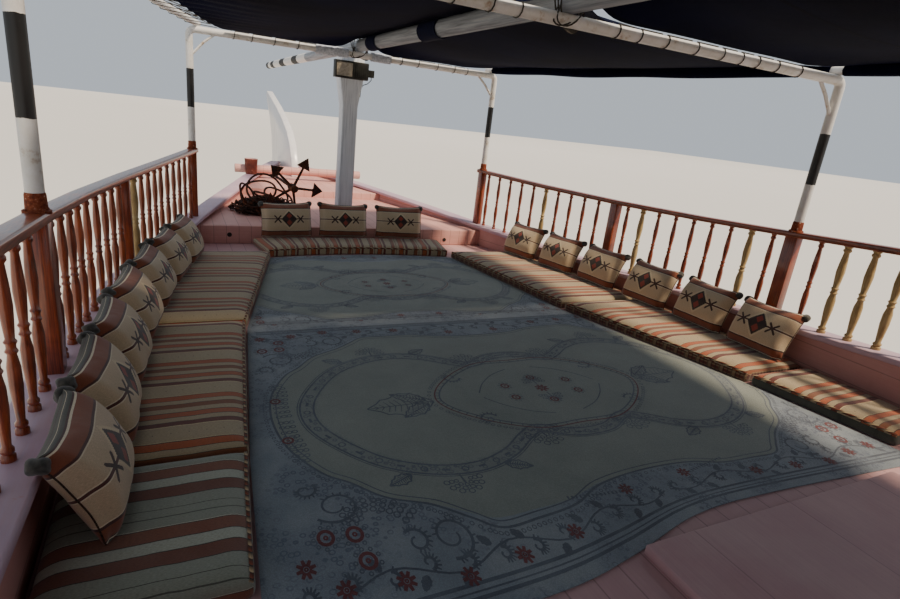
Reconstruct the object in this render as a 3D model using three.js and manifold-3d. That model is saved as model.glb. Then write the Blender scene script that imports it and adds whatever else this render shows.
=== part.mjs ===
// A wooden dhow: round-bilged hull with a raked stem and a flat transom, a decked
// foredeck with railings, kilim seats and a carpet under a canvas awning, and a
// wheelhouse aft. Millimetres, +X starboard, +Y forward, +Z up. The origin is on
// the centreline at the waterline.
import * as THREE from 'three';
import { mergeVertices } from 'three/addons/utils/BufferGeometryUtils.js';
import Module from 'manifold-3d';

const wasm = await Module();
wasm.setup();
const group = new THREE.Group();

// Driving dimensions
const GAP = 0.3;
const DECK_Z = 1350;
const DECK_THICK = 40;
const HULL_TOP = DECK_Z - DECK_THICK - GAP;
const KEEL_BOTTOM = -1350;
const KEEL_TOP = -1150;
const KEEL_HALF = 100;
const TRANSOM_Y = -8700;
const BULWARK_HALF = 45;
const CAP_HALF = 100;
const CAP_THICK = 45;
const STEP_Z = DECK_Z + 200;
const STEP_Y = 2920;
const BOW_DECK_Z = DECK_Z + 300;
const BOW_DECK_Y = 5150;

// Rail, posts and awning
const RAIL_HEIGHT = 711;
const RAIL_HALF = 45;
const RAIL_THICK = 45;
const BALUSTER_PITCH = 190;
const BALUSTER_SIDES = 6;
const PIPE_R = 35;
const HOOP_Z = DECK_Z + 2140;
const HOOP_YS = [3060, -840, -4740];
const POLE_R = 67;
const PIPE_SIDES = 8;
const POLE_SIDES = 12;
const flatRadius = (r, sides) => r * Math.cos(Math.PI / sides);
const BAR_TOP = HOOP_Z + flatRadius(PIPE_R, PIPE_SIDES);
const POLE_Z = BAR_TOP + flatRadius(POLE_R, POLE_SIDES) + GAP;
const SIDE_PIPE_R = 30;
const POLE_END_Y = 10000;
const MAST_Y = 3440;
const CANVAS_THICK = 12;

// Wheelhouse, aft of the awning
const HOUSE_FRONT = -5100;
const HOUSE_BACK = -7600;
const HOUSE_HALF = 1250;
const HOUSE_TOP = DECK_Z + 2080;
const WALL = 60;
const DOOR_WIDTH = 660;
const DOOR_HEIGHT = 1780;

// Stern gear
const SHAFT_Z = -740;
const PROP_R = 380;
const APERTURE_TOP = -300;
const APERTURE_FRONT = -7900;
const RUDDER_AXIS_Y = -8895;
const YOKE_LOW = 1140;
const YOKE_HIGH = 1200;

// Gunwale line: y, half-beam and height of the cap's top above the deck
const SHEER = [
  [TRANSOM_Y, 1750, 950],
  [-7500, 2020, 780],
  [-6000, 2240, 640],
  [-4000, 2400, 500],
  [-2400, 2440, 430],
  [-840, 2430, 325],
  [0, 2385, 278],
  [1000, 2250, 248],
  [2000, 2030, 248],
  [3060, 1745, 275],
  [4000, 1460, 312],
  [5000, 1145, 345],
  [6000, 850, 370],
  [7000, 530, 385],
  [7700, 290, 395],
  [8200, 105, 402],
];

// Hull sections: y, fullness (low is full, high is hollow) and the bottom's height
const SECTIONS = [
  [TRANSOM_Y, 1.9, KEEL_TOP],
  [-7500, 1.25, KEEL_TOP],
  [-6000, 0.8, KEEL_TOP],
  [-4000, 0.55, KEEL_TOP],
  [-2400, 0.47, KEEL_TOP],
  [-840, 0.43, KEEL_TOP],
  [1000, 0.45, KEEL_TOP],
  [3060, 0.56, KEEL_TOP],
  [4300, 0.7, KEEL_TOP],
  [5000, 0.8, -960],
  [5700, 0.85, -480],
  [6720, 0.9, 418],
  [7700, 0.95, 1280],
];

function lookUp(table, y, column) {
  const i = table.findIndex((row) => y <= row[0]);
  if (i <= 0) {
    return table[i === 0 ? 0 : table.length - 1][column];
  }
  const [low, high] = [table[i - 1], table[i]];
  const part = (y - low[0]) / (high[0] - low[0]);
  return low[column] + part * (high[column] - low[column]);
}

const halfBeam = (y) => lookUp(SHEER, y, 1);
const capTop = (y) => DECK_Z + lookUp(SHEER, y, 2);

// Names and places one piece
function add(name, geometry, colour, roughness = 0.6, metalness = 0) {
  const mesh = new THREE.Mesh(
    geometry,
    new THREE.MeshStandardMaterial({ color: colour, roughness, metalness }),
  );
  mesh.name = name;
  group.add(mesh);
  return mesh;
}

// Turns every face outward, whichever way round the rings were given
function facesOut(geometry) {
  const at = geometry.attributes.position;
  const index = geometry.index.array;
  const [a, b, c] = [new THREE.Vector3(), new THREE.Vector3(), new THREE.Vector3()];
  let volume = 0;
  for (let i = 0; i < index.length; i += 3) {
    a.fromBufferAttribute(at, index[i]);
    b.fromBufferAttribute(at, index[i + 1]);
    c.fromBufferAttribute(at, index[i + 2]);
    volume += a.dot(b.cross(c));
  }
  if (volume < 0) {
    for (let i = 0; i < index.length; i += 3) {
      [index[i], index[i + 1]] = [index[i + 1], index[i]];
    }
  }
  return geometry;
}

// Closes one end of a loft, wound against its side faces
function endCap(ring, offset, index, first) {
  const normal = new THREE.Vector3();
  ring.forEach((p, i) => normal.add(p.clone().cross(ring[(i + 1) % ring.length])));
  const across = ring[1].clone().sub(ring[0]).normalize();
  const up = normal.normalize().clone().cross(across);
  const flat = ring.map((p) => new THREE.Vector2(p.dot(across), p.dot(up)));
  const turn = THREE.ShapeUtils.area(flat);
  for (const [a, b, c] of THREE.ShapeUtils.triangulateShape(flat, [])) {
    const same = THREE.ShapeUtils.area([flat[a], flat[b], flat[c]]) * turn > 0;
    const face = same === first ? [a, c, b] : [a, b, c];
    index.push(...face.map((k) => k + offset));
  }
}

// A closed body through rings of points, each ring in its own plane
function loft(rings) {
  const n = rings[0].length;
  const index = [];
  for (let i = 0; i + 1 < rings.length; i++) {
    for (let j = 0; j < n; j++) {
      const [a, b] = [i * n + j, i * n + ((j + 1) % n)];
      index.push(a, b, b + n, a, b + n, a + n);
    }
  }
  endCap(rings[0], 0, index, true);
  endCap(rings.at(-1), n * (rings.length - 1), index, false);
  const geometry = new THREE.BufferGeometry().setFromPoints(rings.flat());
  geometry.setIndex(index);
  return facesOut(geometry);
}

const point = (x, y, z) => new THREE.Vector3(x, y, z);

function block(x0, x1, y0, y1, z0, z1) {
  const box = new THREE.BoxGeometry(x1 - x0, y1 - y0, z1 - z0);
  return box.translate((x0 + x1) / 2, (y0 + y1) / 2, (z0 + z1) / 2);
}

// A flat plate of the given [x, y] outline
function plate(outline, z0, z1) {
  const shape = new THREE.Shape(outline.map(([x, y]) => new THREE.Vector2(x, y)));
  return new THREE.ExtrudeGeometry(shape, { depth: z1 - z0, bevelEnabled: false }).translate(0, 0, z0);
}

// A plate standing along the boat, of the given [y, z] outline
function sidePlate(outline, x0, x1) {
  const turn = new THREE.Matrix4().makeBasis(point(0, 1, 0), point(0, 0, 1), point(1, 0, 0));
  return plate(outline, x0, x1).applyMatrix4(turn);
}

function rod(from, to, r0, r1 = r0, sides = 10) {
  const along = to.clone().sub(from);
  const geometry = new THREE.CylinderGeometry(r1, r0, along.length(), sides);
  const turn = new THREE.Quaternion().setFromUnitVectors(point(0, 1, 0), along.normalize());
  const middle = from.clone().add(to).multiplyScalar(0.5);
  return geometry.applyQuaternion(turn).translate(middle.x, middle.y, middle.z);
}

// A round bar through points, mitred at full size where it bends; each ring
// carries the last one's direction on
function pipe(points, r, sides = PIPE_SIDES) {
  let u = point(0, 1, 0);
  const rings = points.map((p, i) => {
    const ahead = points[Math.min(i + 1, points.length - 1)].clone().sub(p).normalize();
    const back = i > 0 ? p.clone().sub(points[i - 1]).normalize() : ahead.clone();
    if (i === points.length - 1) {
      ahead.copy(back);
    }
    const along = back.clone().add(ahead).normalize();
    const bend = ahead.clone().sub(back).normalize();
    const stretch = 1 / along.dot(ahead) - 1;
    if (i === 0 && Math.abs(along.y) > 0.9) {
      u = point(1, 0, 0);
    }
    u = u.clone().addScaledVector(along, -u.dot(along)).normalize();
    const v = along.clone().cross(u);
    return Array.from({ length: sides }, (_, k) => {
      const angle = (2 * Math.PI * (k + 0.5)) / sides;
      const out = u.clone().multiplyScalar(r * Math.cos(angle)).addScaledVector(v, r * Math.sin(angle));
      return p.clone().add(out).addScaledVector(bend, out.dot(bend) * stretch);
    });
  });
  return loft(rings);
}

function toSolid(geometry) {
  const bare = geometry.clone();
  bare.deleteAttribute('normal');
  bare.deleteAttribute('uv');
  const merged = mergeVertices(bare, 0.001);
  return new wasm.Manifold(new wasm.Mesh({
    numProp: 3,
    vertProperties: new Float32Array(merged.attributes.position.array),
    triVerts: new Uint32Array(merged.index.array),
  }));
}

function toGeometry(solid) {
  const { vertProperties, triVerts } = solid.getMesh();
  const geometry = new THREE.BufferGeometry();
  geometry.setAttribute('position', new THREE.BufferAttribute(new Float32Array(vertProperties), 3));
  geometry.setIndex(new THREE.BufferAttribute(new Uint32Array(triVerts), 1));
  return geometry;
}

const join = (pieces) => toGeometry(pieces.map(toSolid).reduce((a, b) => a.add(b)));
const cut = (body, holes) => toGeometry(holes.map(toSolid).reduce((a, b) => a.subtract(b), toSolid(body)));

// The rows of the gunwale table from y0 to y1, with both ends added
function rowsBetween(y0, y1) {
  const inside = SHEER.map((row) => row[0]).filter((y) => y > y0 + 1 && y < y1 - 1);
  return [y0, ...inside, y1];
}

// Hull: one solid body, narrow at the keel, with the propeller's aperture and an
// open-topped bay for the engine
const SECTION_STEPS = [0, 0.06, 0.16, 0.3, 0.47, 0.66];
const WALE = { low: HULL_TOP - 290, high: HULL_TOP - 110, proud: 42 };
function hullRing([y, fullness, bottom]) {
  const top = halfBeam(y) + BULWARK_HALF;
  const widthAt = (t) => KEEL_HALF - 15 + (top - KEEL_HALF + 15) * t ** fullness;
  const depth = HULL_TOP - bottom;
  const low = Math.max(WALE.low, bottom + 0.72 * depth);
  const high = Math.max(WALE.high, bottom + 0.86 * depth);
  const [lowX, highX] = [low, high].map((z) => widthAt((z - bottom) / depth));
  const slant = 0.006 * depth;
  const side = [
    ...SECTION_STEPS.map((t) => [widthAt(t), bottom + t * depth]),
    [lowX, low],
    [lowX + WALE.proud, low + slant],
    [highX + WALE.proud, high - slant],
    [highX, high],
    [top, HULL_TOP],
  ];
  const starboard = side.map(([x, z]) => point(x, y, z));
  const port = side.map(([x, z]) => point(-x, y, z)).reverse();
  return [...starboard, ...port];
}
const BAY = { half: 650, front: -4700, back: -6700, floor: -350 };
add('hull', cut(loft(SECTIONS.map(hullRing)), [
  block(-500, 500, TRANSOM_Y - 50, APERTURE_FRONT, KEEL_TOP - 50, APERTURE_TOP),
  block(-BAY.half, BAY.half, BAY.back, BAY.front, BAY.floor, DECK_Z),
]), '#6b3f26', 0.5);

add('keel', block(-KEEL_HALF, KEEL_HALF, -8990, 4300, KEEL_BOTTOM, KEEL_TOP - GAP), '#3d4a55');

// Stem: aft face y and z, front face y and z, half-width
const STEM = [
  [4300 + GAP, KEEL_TOP - GAP, 4300 + GAP, KEEL_BOTTOM, 100],
  [5000, -960 - GAP, 5300, -1230, 100],
  [5700, -480 - GAP, 6130, -800, 100],
  [6720, 418 - GAP, 7250, 60, 100],
  [7700 + GAP, 1280, 8420, 960, 96],
  [8170, 1694, 9000, 1480, 92],
];
// Its head stands over the bow as one broad curved plank, scarfed into the stem. The
// plank's foot runs aft between the caps, just over the bow deck.
const STEM_HEAD_HALF = 62;
const overCaps = capTop(8200) + 4;
const STEM_HEAD = [
  [6700, BOW_DECK_Z + GAP],
  [6790, 1930],
  [7000, 2180],
  [7330, 2390],
  [7900, 2590],
  [8600, 2780],
  [9860, 3065],
  [9945, 3000],
  [9780, 2830],
  [9400, 2540],
  [9130, 2210],
  [9010, 1850],
  [8960, 1470],
  [8300, 1660],
  [8255, overCaps],
  [7930, overCaps],
  [7930, BOW_DECK_Z + GAP],
];
add('stem_post', join([
  loft(STEM.map(([aftY, aftZ, foreY, foreZ, half]) => [
    point(-half, aftY, aftZ),
    point(half, aftY, aftZ),
    point(half, foreY, foreZ),
    point(-half, foreY, foreZ),
  ])),
  sidePlate(STEM_HEAD, -STEM_HEAD_HALF, STEM_HEAD_HALF),
]), '#f0efee', 0.45);

add('stern_post', block(
  -70, 70, TRANSOM_Y - 150, TRANSOM_Y - GAP, KEEL_TOP, YOKE_LOW - 40,
), '#6b3f26', 0.5);

// Deck, over the whole hull
const deckYs = rowsBetween(TRANSOM_Y, 7730);
const deckEdge = deckYs.map((y) => [halfBeam(y) + BULWARK_HALF, y]);
const mirrored = (edge) => edge.map(([x, y]) => [-x, y]).reverse();
add('deck', plate([...deckEdge, ...mirrored(deckEdge)], DECK_Z - DECK_THICK, DECK_Z), '#d9a29c');

// Bulwarks and their caps, one pair each side
const SIDES = [['port', -1], ['starboard', 1]];
const bulwarkTop = (y) => capTop(y) - CAP_THICK - GAP;
const stemAft = (z) => 7700 + ((z - 1280) * (8170 - 7700)) / (1694 - 1280) - GAP;
function sideStrip(side, ys, half, zLow, zHigh, meetsStem = false) {
  return loft(ys.map((y, i) => {
    const last = meetsStem && i === ys.length - 1;
    return [[1, zLow], [-1, zLow], [-1, zHigh], [1, zHigh]].map(([out, height]) => {
      const at = last ? stemAft(height(y)) : y;
      const across = Math.max(halfBeam(at) + out * half, 2);
      return point(side * across, at, height(at));
    });
  }));
}
for (const [label, side] of SIDES) {
  const wallYs = rowsBetween(TRANSOM_Y + 90, 8000);
  const wall = sideStrip(side, wallYs, BULWARK_HALF, () => DECK_Z + GAP, bulwarkTop, true);
  add(`bulwark_${label}`, wall, '#d9a29c');
  const capYs = rowsBetween(TRANSOM_Y - 20, 8000);
  const cap = sideStrip(side, capYs, CAP_HALF, (y) => capTop(y) - CAP_THICK, capTop, true);
  add(`cap_rail_${label}`, cap, '#cdb4c4');
}
const sternHalf = halfBeam(TRANSOM_Y);
const sternTop = bulwarkTop(TRANSOM_Y + 90);
add('transom_bulwark', join([
  block(
    -sternHalf - BULWARK_HALF, sternHalf + BULWARK_HALF,
    TRANSOM_Y, TRANSOM_Y + 90 - GAP, DECK_Z + GAP, sternTop,
  ),
  block(
    -sternHalf + CAP_HALF + 5, sternHalf - CAP_HALF - 5,
    TRANSOM_Y - 20, TRANSOM_Y + 130, sternTop - 1, sternTop + CAP_THICK,
  ),
]), '#6b3f26', 0.5);

// Platforms of the bow: a low step with the seats against it, then the bow deck
function bowPlan(y0, y1, inset) {
  const edge = rowsBetween(y0, y1).map((y) => [halfBeam(y) - inset, y]);
  return [...edge, ...mirrored(edge)];
}
const insideBulwark = BULWARK_HALF + GAP;
add('foredeck_step', plate(bowPlan(STEP_Y, BOW_DECK_Y - GAP, insideBulwark), DECK_Z + GAP, STEP_Z), '#d9988a');
add('bow_deck', plate(bowPlan(BOW_DECK_Y, 7650, insideBulwark), DECK_Z + GAP, BOW_DECK_Z), '#dfa79b');

// Cathead beam across the bow on the caps, and a stout bollard let into its aft side
const CATHEAD = { y: 6300, half: 1040, z: capTop(6300) + 68 + 2 * GAP, r: 68 };
const BOLLARD = { x: -800, y: 6190, r: 88, topR: 104, top: 1968 };
add('cathead_beam', join([
  rod(point(-CATHEAD.half, CATHEAD.y, CATHEAD.z), point(CATHEAD.half, CATHEAD.y, CATHEAD.z), CATHEAD.r, CATHEAD.r, 12),
  rod(
    point(BOLLARD.x, BOLLARD.y, capTop(BOLLARD.y + BOLLARD.topR) + 2 * GAP),
    point(BOLLARD.x, BOLLARD.y, BOLLARD.top),
    BOLLARD.r, BOLLARD.topR, 8,
  ),
]), '#dfa79b');

// Mast: y, half-width across, half-width along, height above the step
const MAST = [
  [0, 92, 92],
  [1380, 92, 92],
  [1680, 138, 110],
  [BAR_TOP - STEP_Z - GAP, 142, 110],
];
add('mast', loft(MAST.map(([up, halfX, halfY]) => [
  point(-halfX, MAST_Y - halfY, STEP_Z + GAP + up),
  point(halfX, MAST_Y - halfY, STEP_Z + GAP + up),
  point(halfX, MAST_Y + halfY, STEP_Z + GAP + up),
  point(-halfX, MAST_Y + halfY, STEP_Z + GAP + up),
])), '#b4b5b3', 0.5);

add('floodlight', join([
  block(-230, 170, MAST_Y - 210, MAST_Y - 110 - GAP, DECK_Z + 1890, DECK_Z + 2080),
  block(169, 240, MAST_Y - 190, MAST_Y - 140, DECK_Z + 1930, DECK_Z + 2010),
]), '#20211f', 0.4);

add('ridge_pole', pipe([
  point(0, HOOP_YS[2] - 160, POLE_Z),
  point(0, 6500, POLE_Z),
  point(0, POLE_END_Y, POLE_Z),
], POLE_R, POLE_SIDES), '#b9bcc0', 0.6);

// Railings: top rail, newels and balusters in one body for each side
const RAIL_AFT = HOOP_YS[2] - 60;
const RAIL_FORE = HOOP_YS[0] + 60;
const railTop = (y) => capTop(y) + RAIL_HEIGHT;
const seatOnCap = (y, reach) => Math.max(capTop(y - reach), capTop(y + reach)) + GAP;
const NEWEL_YS = [HOOP_YS[0], 1000, HOOP_YS[1], -2790, HOOP_YS[2]];
// height up the baluster from 0 to 1, radius: two long vases between thin necks
const TURNING = [[0, 22], [0.08, 14], [0.3, 22], [0.5, 14], [0.7, 22], [0.92, 14], [1, 20]];
// where an unvarnished spare baluster stands in, and how much thicker it is
const SPARES = { port: [1220], starboard: [1980, 650, -490, -1250, -1440, -1630] };
const SPARE_GIRTH = 1.35;
function turned(x, y, low, high, girth) {
  return loft(TURNING.map(([part, r]) => Array.from({ length: BALUSTER_SIDES }, (_, k) => {
    const angle = (k * 2 * Math.PI) / BALUSTER_SIDES;
    const z = low + part * (high - low);
    return point(x + girth * r * Math.cos(angle), y + girth * r * Math.sin(angle), z);
  })));
}
for (const [label, side] of SIDES) {
  const rail = sideStrip(side, rowsBetween(RAIL_AFT, RAIL_FORE), RAIL_HALF, (y) => railTop(y) - RAIL_THICK, railTop);
  const posts = NEWEL_YS.map((y) => {
    const x = side * halfBeam(y);
    return block(x - 40, x + 40, y - 50, y + 50, seatOnCap(y, 50), railTop(y) - 20);
  });
  const balusters = [];
  for (let y = RAIL_FORE - BALUSTER_PITCH; y > RAIL_AFT + 40; y -= BALUSTER_PITCH) {
    if (NEWEL_YS.every((newelY) => Math.abs(newelY - y) > 75)) {
      const girth = SPARES[label].includes(y) ? SPARE_GIRTH : 1;
      const low = seatOnCap(y, girth * TURNING[0][1]);
      balusters.push(turned(side * halfBeam(y), y, low, railTop(y) - 20, girth));
    }
  }
  add(`railing_${label}`, join([rail, ...posts, ...balusters]), '#7c3a1e', 0.35);
}

// Awning frame: a hoop of two posts, a cross bar and two braces at each station
const FLANGE_R = 52;
HOOP_YS.forEach((y, i) => {
  const x = halfBeam(y);
  const foot = Math.max(railTop(y - FLANGE_R), railTop(y + FLANGE_R)) + GAP;
  const path = [[-x, foot], [-x, HOOP_Z], [x, HOOP_Z], [x, foot]].map(([px, z]) => point(px, y, z));
  const parts = [pipe(path, PIPE_R)];
  for (const side of [-1, 1]) {
    parts.push(rod(point(side * x, y, foot), point(side * x, y, foot + 12), FLANGE_R, FLANGE_R, 12));
    parts.push(rod(point(side * x, y, HOOP_Z - 260), point(side * (x - 260), y, HOOP_Z), 14, 14, 6));
  }
  add(`awning_hoop_${i + 1}`, join(parts), '#e8e8e6', 0.4);
});

// Side pipes from hoop to hoop, resting on the ends of the cross bars
for (const [label, side] of SIDES) {
  const ys = rowsBetween(HOOP_YS[2] - 80, HOOP_YS[0] + 80);
  const z = BAR_TOP + flatRadius(SIDE_PIPE_R, PIPE_SIDES) + GAP;
  const line = ys.map((y) => point(side * (halfBeam(y) - 60), y, z));
  add(`side_pipe_${label}`, pipe(line, SIDE_PIPE_R), '#e8e8e6', 0.4);
}

// Canvas panels, one for each bay, over the ridge pole and short of the port pipe
const RIDGE_CANVAS = POLE_Z + flatRadius(POLE_R, POLE_SIDES) + GAP;
for (let bay = 0; bay + 1 < HOOP_YS.length; bay++) {
  const ys = rowsBetween(HOOP_YS[bay + 1] + 110, HOOP_YS[bay] - 110);
  const rings = ys.map((y) => {
    const reach = halfBeam(y);
    const edgeZ = HOOP_Z + 20;
    const outline = [
      [-reach + 330, edgeZ], [-20, RIDGE_CANVAS], [20, RIDGE_CANVAS], [reach - 120, edgeZ],
    ];
    const lower = outline.map(([x, z]) => point(x, y, z));
    const upper = outline.map(([x, z]) => point(x, y, z + CANVAS_THICK)).reverse();
    return [...lower, ...upper];
  });
  add(`awning_panel_${bay + 1}`, loft(rings), '#11152a', 0.9);
}

// Seats: corners of each mattress, inner edge then the bulwark's side
const MATTRESS_THICK = 105;
const seatZ = DECK_Z + GAP;
const wallX = (y) => halfBeam(y) - BULWARK_HALF - 12;
// name, side, y fore, y aft, inner x at the fore end, inner x at the aft end
const SIDE_MATTRESSES = [
  ['mattress_port_1', -1, 2280, 340, 1060, 1500],
  ['mattress_port_2', -1, 330, -1290, 1510, 1665],
  ['mattress_port_3', -1, -1300, -2080, 1670, 1730],
  ['mattress_starboard_1', 1, 2280, 400, 1010, 1290],
  ['mattress_starboard_2', 1, 390, -1250, 1300, 1740],
  ['mattress_starboard_3', 1, -1260, -2150, 1745, 1910],
];
for (const [name, side, fore, aft, xFore, xAft] of SIDE_MATTRESSES) {
  const outer = rowsBetween(aft, fore).map((y) => [side * wallX(y), y]);
  const outline = [...outer, [side * xFore, fore], [side * xAft, aft]];
  add(name, plate(outline, seatZ, seatZ + MATTRESS_THICK), '#8d7a63', 0.95);
}
add('mattress_front', plate([
  [-1080, 2300], [-620, 2380], [-100, 2420], [420, 2380], [1000, 2300],
  [1120, 2890], [-1180, 2890],
], seatZ, seatZ + MATTRESS_THICK), '#8d7a63', 0.95);

// Cushions: the foot of a flat back at x and y, a turn about Z and a lean from upright
const SIDE_CUSHION = { wide: 530, high: 395, lean: 26 };
const FRONT_CUSHION = { wide: 600, high: 400, lean: 14 };
// Distance from the back, then how far the ends are in, the top is down and the lower
// edge is up from the seat, so that the face is crowned
const PILLOW = [
  [0, 0, 0, 0],
  [70, 0, 0, 0],
  [110, 20, 60, 60],
  [142, 120, 135, 130],
];
function cushion(name, x, y, turn, { wide, high, lean }) {
  const slope = Math.tan(THREE.MathUtils.degToRad(lean));
  const rings = PILLOW.map(([out, inset, drop, rise]) => {
    const half = wide / 2 - inset;
    const foot = rise - out * slope;
    const corners = [[-half, foot], [half, foot], [half, high - drop], [-half, high - drop]];
    return corners.map(([across, up]) => point(across, -out, up));
  });
  const mesh = add(name, loft(rings), '#b59a7a', 0.95);
  mesh.rotation.order = 'ZYX';
  mesh.rotation.set(-THREE.MathUtils.degToRad(lean), 0, THREE.MathUtils.degToRad(turn));
  mesh.position.set(x, y, seatZ + MATTRESS_THICK + GAP);
}
// How far the back's foot stands in from the beam line, so that the back clears the cap
const CUSHION_STAND = 242;
const PORT_CUSHION_YS = [1880, 1320, 740, 150, -430, -990, -1550];
const STARBOARD_CUSHION_YS = [1980, 1410, 840, 220, -380, -940];
function sideCushion(name, side, y) {
  const slope = (halfBeam(y + 200) - halfBeam(y - 200)) / 400;
  const turn = -side * (90 + THREE.MathUtils.radToDeg(Math.atan(slope)));
  cushion(name, side * (halfBeam(y) - CUSHION_STAND), y, turn, SIDE_CUSHION);
}
PORT_CUSHION_YS.forEach((y, i) => sideCushion(`cushion_port_${i + 1}`, -1, y));
STARBOARD_CUSHION_YS.forEach((y, i) => sideCushion(`cushion_starboard_${i + 1}`, 1, y));
[[-800, 2850, 7], [-140, 2890, 0], [545, 2850, -7]].forEach(([x, y, turn], i) => {
  cushion(`cushion_front_${i + 1}`, x, y, turn, FRONT_CUSHION);
});

// Carpets in the well between the seats, and the hatch just aft of them. The aft
// carpet's edge is drawn forward where it meets the hatch.
add('carpet_fore', plate([
  [-1485, 340], [1278, 340], [1000, 2270], [420, 2366], [-20, 2385], [-610, 2349], [-1048, 2270],
], DECK_Z + GAP, DECK_Z + 8), '#8c9a8e', 0.98);
add('carpet_aft', plate([
  [-1485, 338], [-1650, -1290], [-1715, -2240], [-1722, -2390], [-720, -2388], [-300, -2326], [150, -2215],
  [700, -2215], [1890, -2300], [1725, -1250], [1278, 338],
], DECK_Z + GAP, DECK_Z + 8), '#8c9a8e', 0.98);
add('deck_hatch', block(-270, 1500, -3900, -2330, DECK_Z + GAP, DECK_Z + 45), '#dba59f');

// Grapnel standing on the step behind the front cushions, its shank sloping forward
// over the chain: five straight arms with flat arrow-head flukes
const HUB = point(-655, 3315, STEP_Z + 390);
const SHANK_END = point(-805, 3855, STEP_Z + 470);
const ARM_TURN = 66;
const FLUKE = { tip: 400, root: 262, half: 96, thick: 14 };
const along = SHANK_END.clone().sub(HUB).normalize();
const sideways = along.clone().cross(point(0, 0, 1)).normalize();
const upward = sideways.clone().cross(along);
const fromHub = (out, reach, wing = 0, back = 0) => (
  HUB.clone().addScaledVector(out, reach).addScaledVector(out.clone().cross(along), wing).addScaledVector(along, back)
);
const grapnel = [
  rod(fromHub(along, -50), SHANK_END, 20, 16, 8),
  rod(fromHub(along, -60), fromHub(along, 60), 46, 46, 8),
  rod(
    SHANK_END.clone().addScaledVector(sideways, -62).addScaledVector(along, -22),
    SHANK_END.clone().addScaledVector(sideways, 62).addScaledVector(along, -22),
    12, 12, 6,
  ),
];
for (let k = 0; k < 5; k++) {
  const angle = THREE.MathUtils.degToRad(ARM_TURN + k * 72);
  const out = sideways.clone().multiplyScalar(Math.cos(angle)).addScaledVector(upward, Math.sin(angle));
  grapnel.push(rod(HUB, fromHub(out, FLUKE.root + 40), 19, 15, 6));
  grapnel.push(loft([-FLUKE.thick / 2, FLUKE.thick / 2].map((back) => [
    fromHub(out, FLUKE.root, -FLUKE.half, back),
    fromHub(out, FLUKE.root, FLUKE.half, back),
    fromHub(out, FLUKE.tip, 0, back),
  ])));
}
const grapnelBody = join(grapnel);
grapnelBody.computeBoundingBox();
grapnelBody.translate(0, 0, STEP_Z + GAP - grapnelBody.boundingBox.min.z);
add('grapnel', grapnelBody, '#3a2620', 0.8, 0.4);

// The anchor chain in a low heap beside it: radius, height of each turn
const HEAP = [[390, 0], [430, 40], [360, 120], [210, 175], [70, 195]];
const HEAP_SIDES = 12;
add('chain_heap', loft(HEAP.map(([r, z]) => Array.from({ length: HEAP_SIDES }, (_, k) => {
  const angle = (k * 2 * Math.PI) / HEAP_SIDES;
  return point(-900 + r * Math.cos(angle), 3800 + 0.85 * r * Math.sin(angle), STEP_Z + GAP + z);
}))), '#33302d', 0.8, 0.5);

// Wheelhouse: four walls with the windows and the doorway cut
const HOUSE_Z = DECK_Z + GAP;
const WINDOW_LOW = DECK_Z + 1050;
const WINDOW_HIGH = DECK_Z + 1780;
const DOOR_X = -520;
const doorLow = HOUSE_Z + 90;
const houseHoles = [
  block(-HOUSE_HALF + WALL, HOUSE_HALF - WALL, HOUSE_BACK + WALL, HOUSE_FRONT - WALL, DECK_Z - 10, HOUSE_TOP + 10),
  block(DOOR_X, DOOR_X + DOOR_WIDTH, HOUSE_BACK - 50, HOUSE_BACK + WALL + 50, doorLow, doorLow + DOOR_HEIGHT),
];
for (const x of [-790, 0, 790]) {
  houseHoles.push(block(x - 310, x + 310, HOUSE_FRONT - WALL - 50, HOUSE_FRONT + 50, WINDOW_LOW, WINDOW_HIGH));
}
for (const y of [-5750, -6900]) {
  houseHoles.push(block(-HOUSE_HALF - 50, HOUSE_HALF + 50, y - 400, y + 400, WINDOW_LOW, WINDOW_HIGH));
}
houseHoles.push(block(420, 1000, HOUSE_BACK - 50, HOUSE_BACK + WALL + 50, WINDOW_LOW, WINDOW_HIGH));
const HINGE = { x: DOOR_X - 4, y: HOUSE_BACK - 16, r: 13, long: 90 };
const hingeZs = [doorLow + 300, doorLow + DOOR_HEIGHT - 390];
const walls = cut(block(-HOUSE_HALF, HOUSE_HALF, HOUSE_BACK, HOUSE_FRONT, HOUSE_Z, HOUSE_TOP), houseHoles);
const lugs = hingeZs.map((z) => join([
  rod(point(HINGE.x, HINGE.y, z - HINGE.long), point(HINGE.x, HINGE.y, z - GAP), HINGE.r),
  block(HINGE.x - 40, HINGE.x - 2, HINGE.y - 4, HOUSE_BACK + 4, z - HINGE.long, z - GAP),
]));
add('wheelhouse', join([walls, ...lugs]), '#8a4a28', 0.45);
add('wheelhouse_door', join([
  block(DOOR_X + 6, DOOR_X + DOOR_WIDTH - 6, HOUSE_BACK, HOUSE_BACK + 40, doorLow + 6, doorLow + DOOR_HEIGHT - 6),
  ...hingeZs.map((z) => join([
    rod(point(HINGE.x, HINGE.y, z), point(HINGE.x, HINGE.y, z + HINGE.long), HINGE.r),
    block(HINGE.x + 2, DOOR_X + 60, HINGE.y - 4, HOUSE_BACK - 2, z, z + HINGE.long),
    block(DOOR_X + 10, DOOR_X + 60, HINGE.y - 4, HOUSE_BACK + 4, z, z + HINGE.long),
  ])),
]), '#7c3a1e', 0.4);
add('wheelhouse_roof', block(
  -HOUSE_HALF - 150, HOUSE_HALF + 150, HOUSE_BACK - 180, HOUSE_FRONT + 150, HOUSE_TOP + GAP, HOUSE_TOP + 70,
), '#e6e2da', 0.6);

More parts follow.
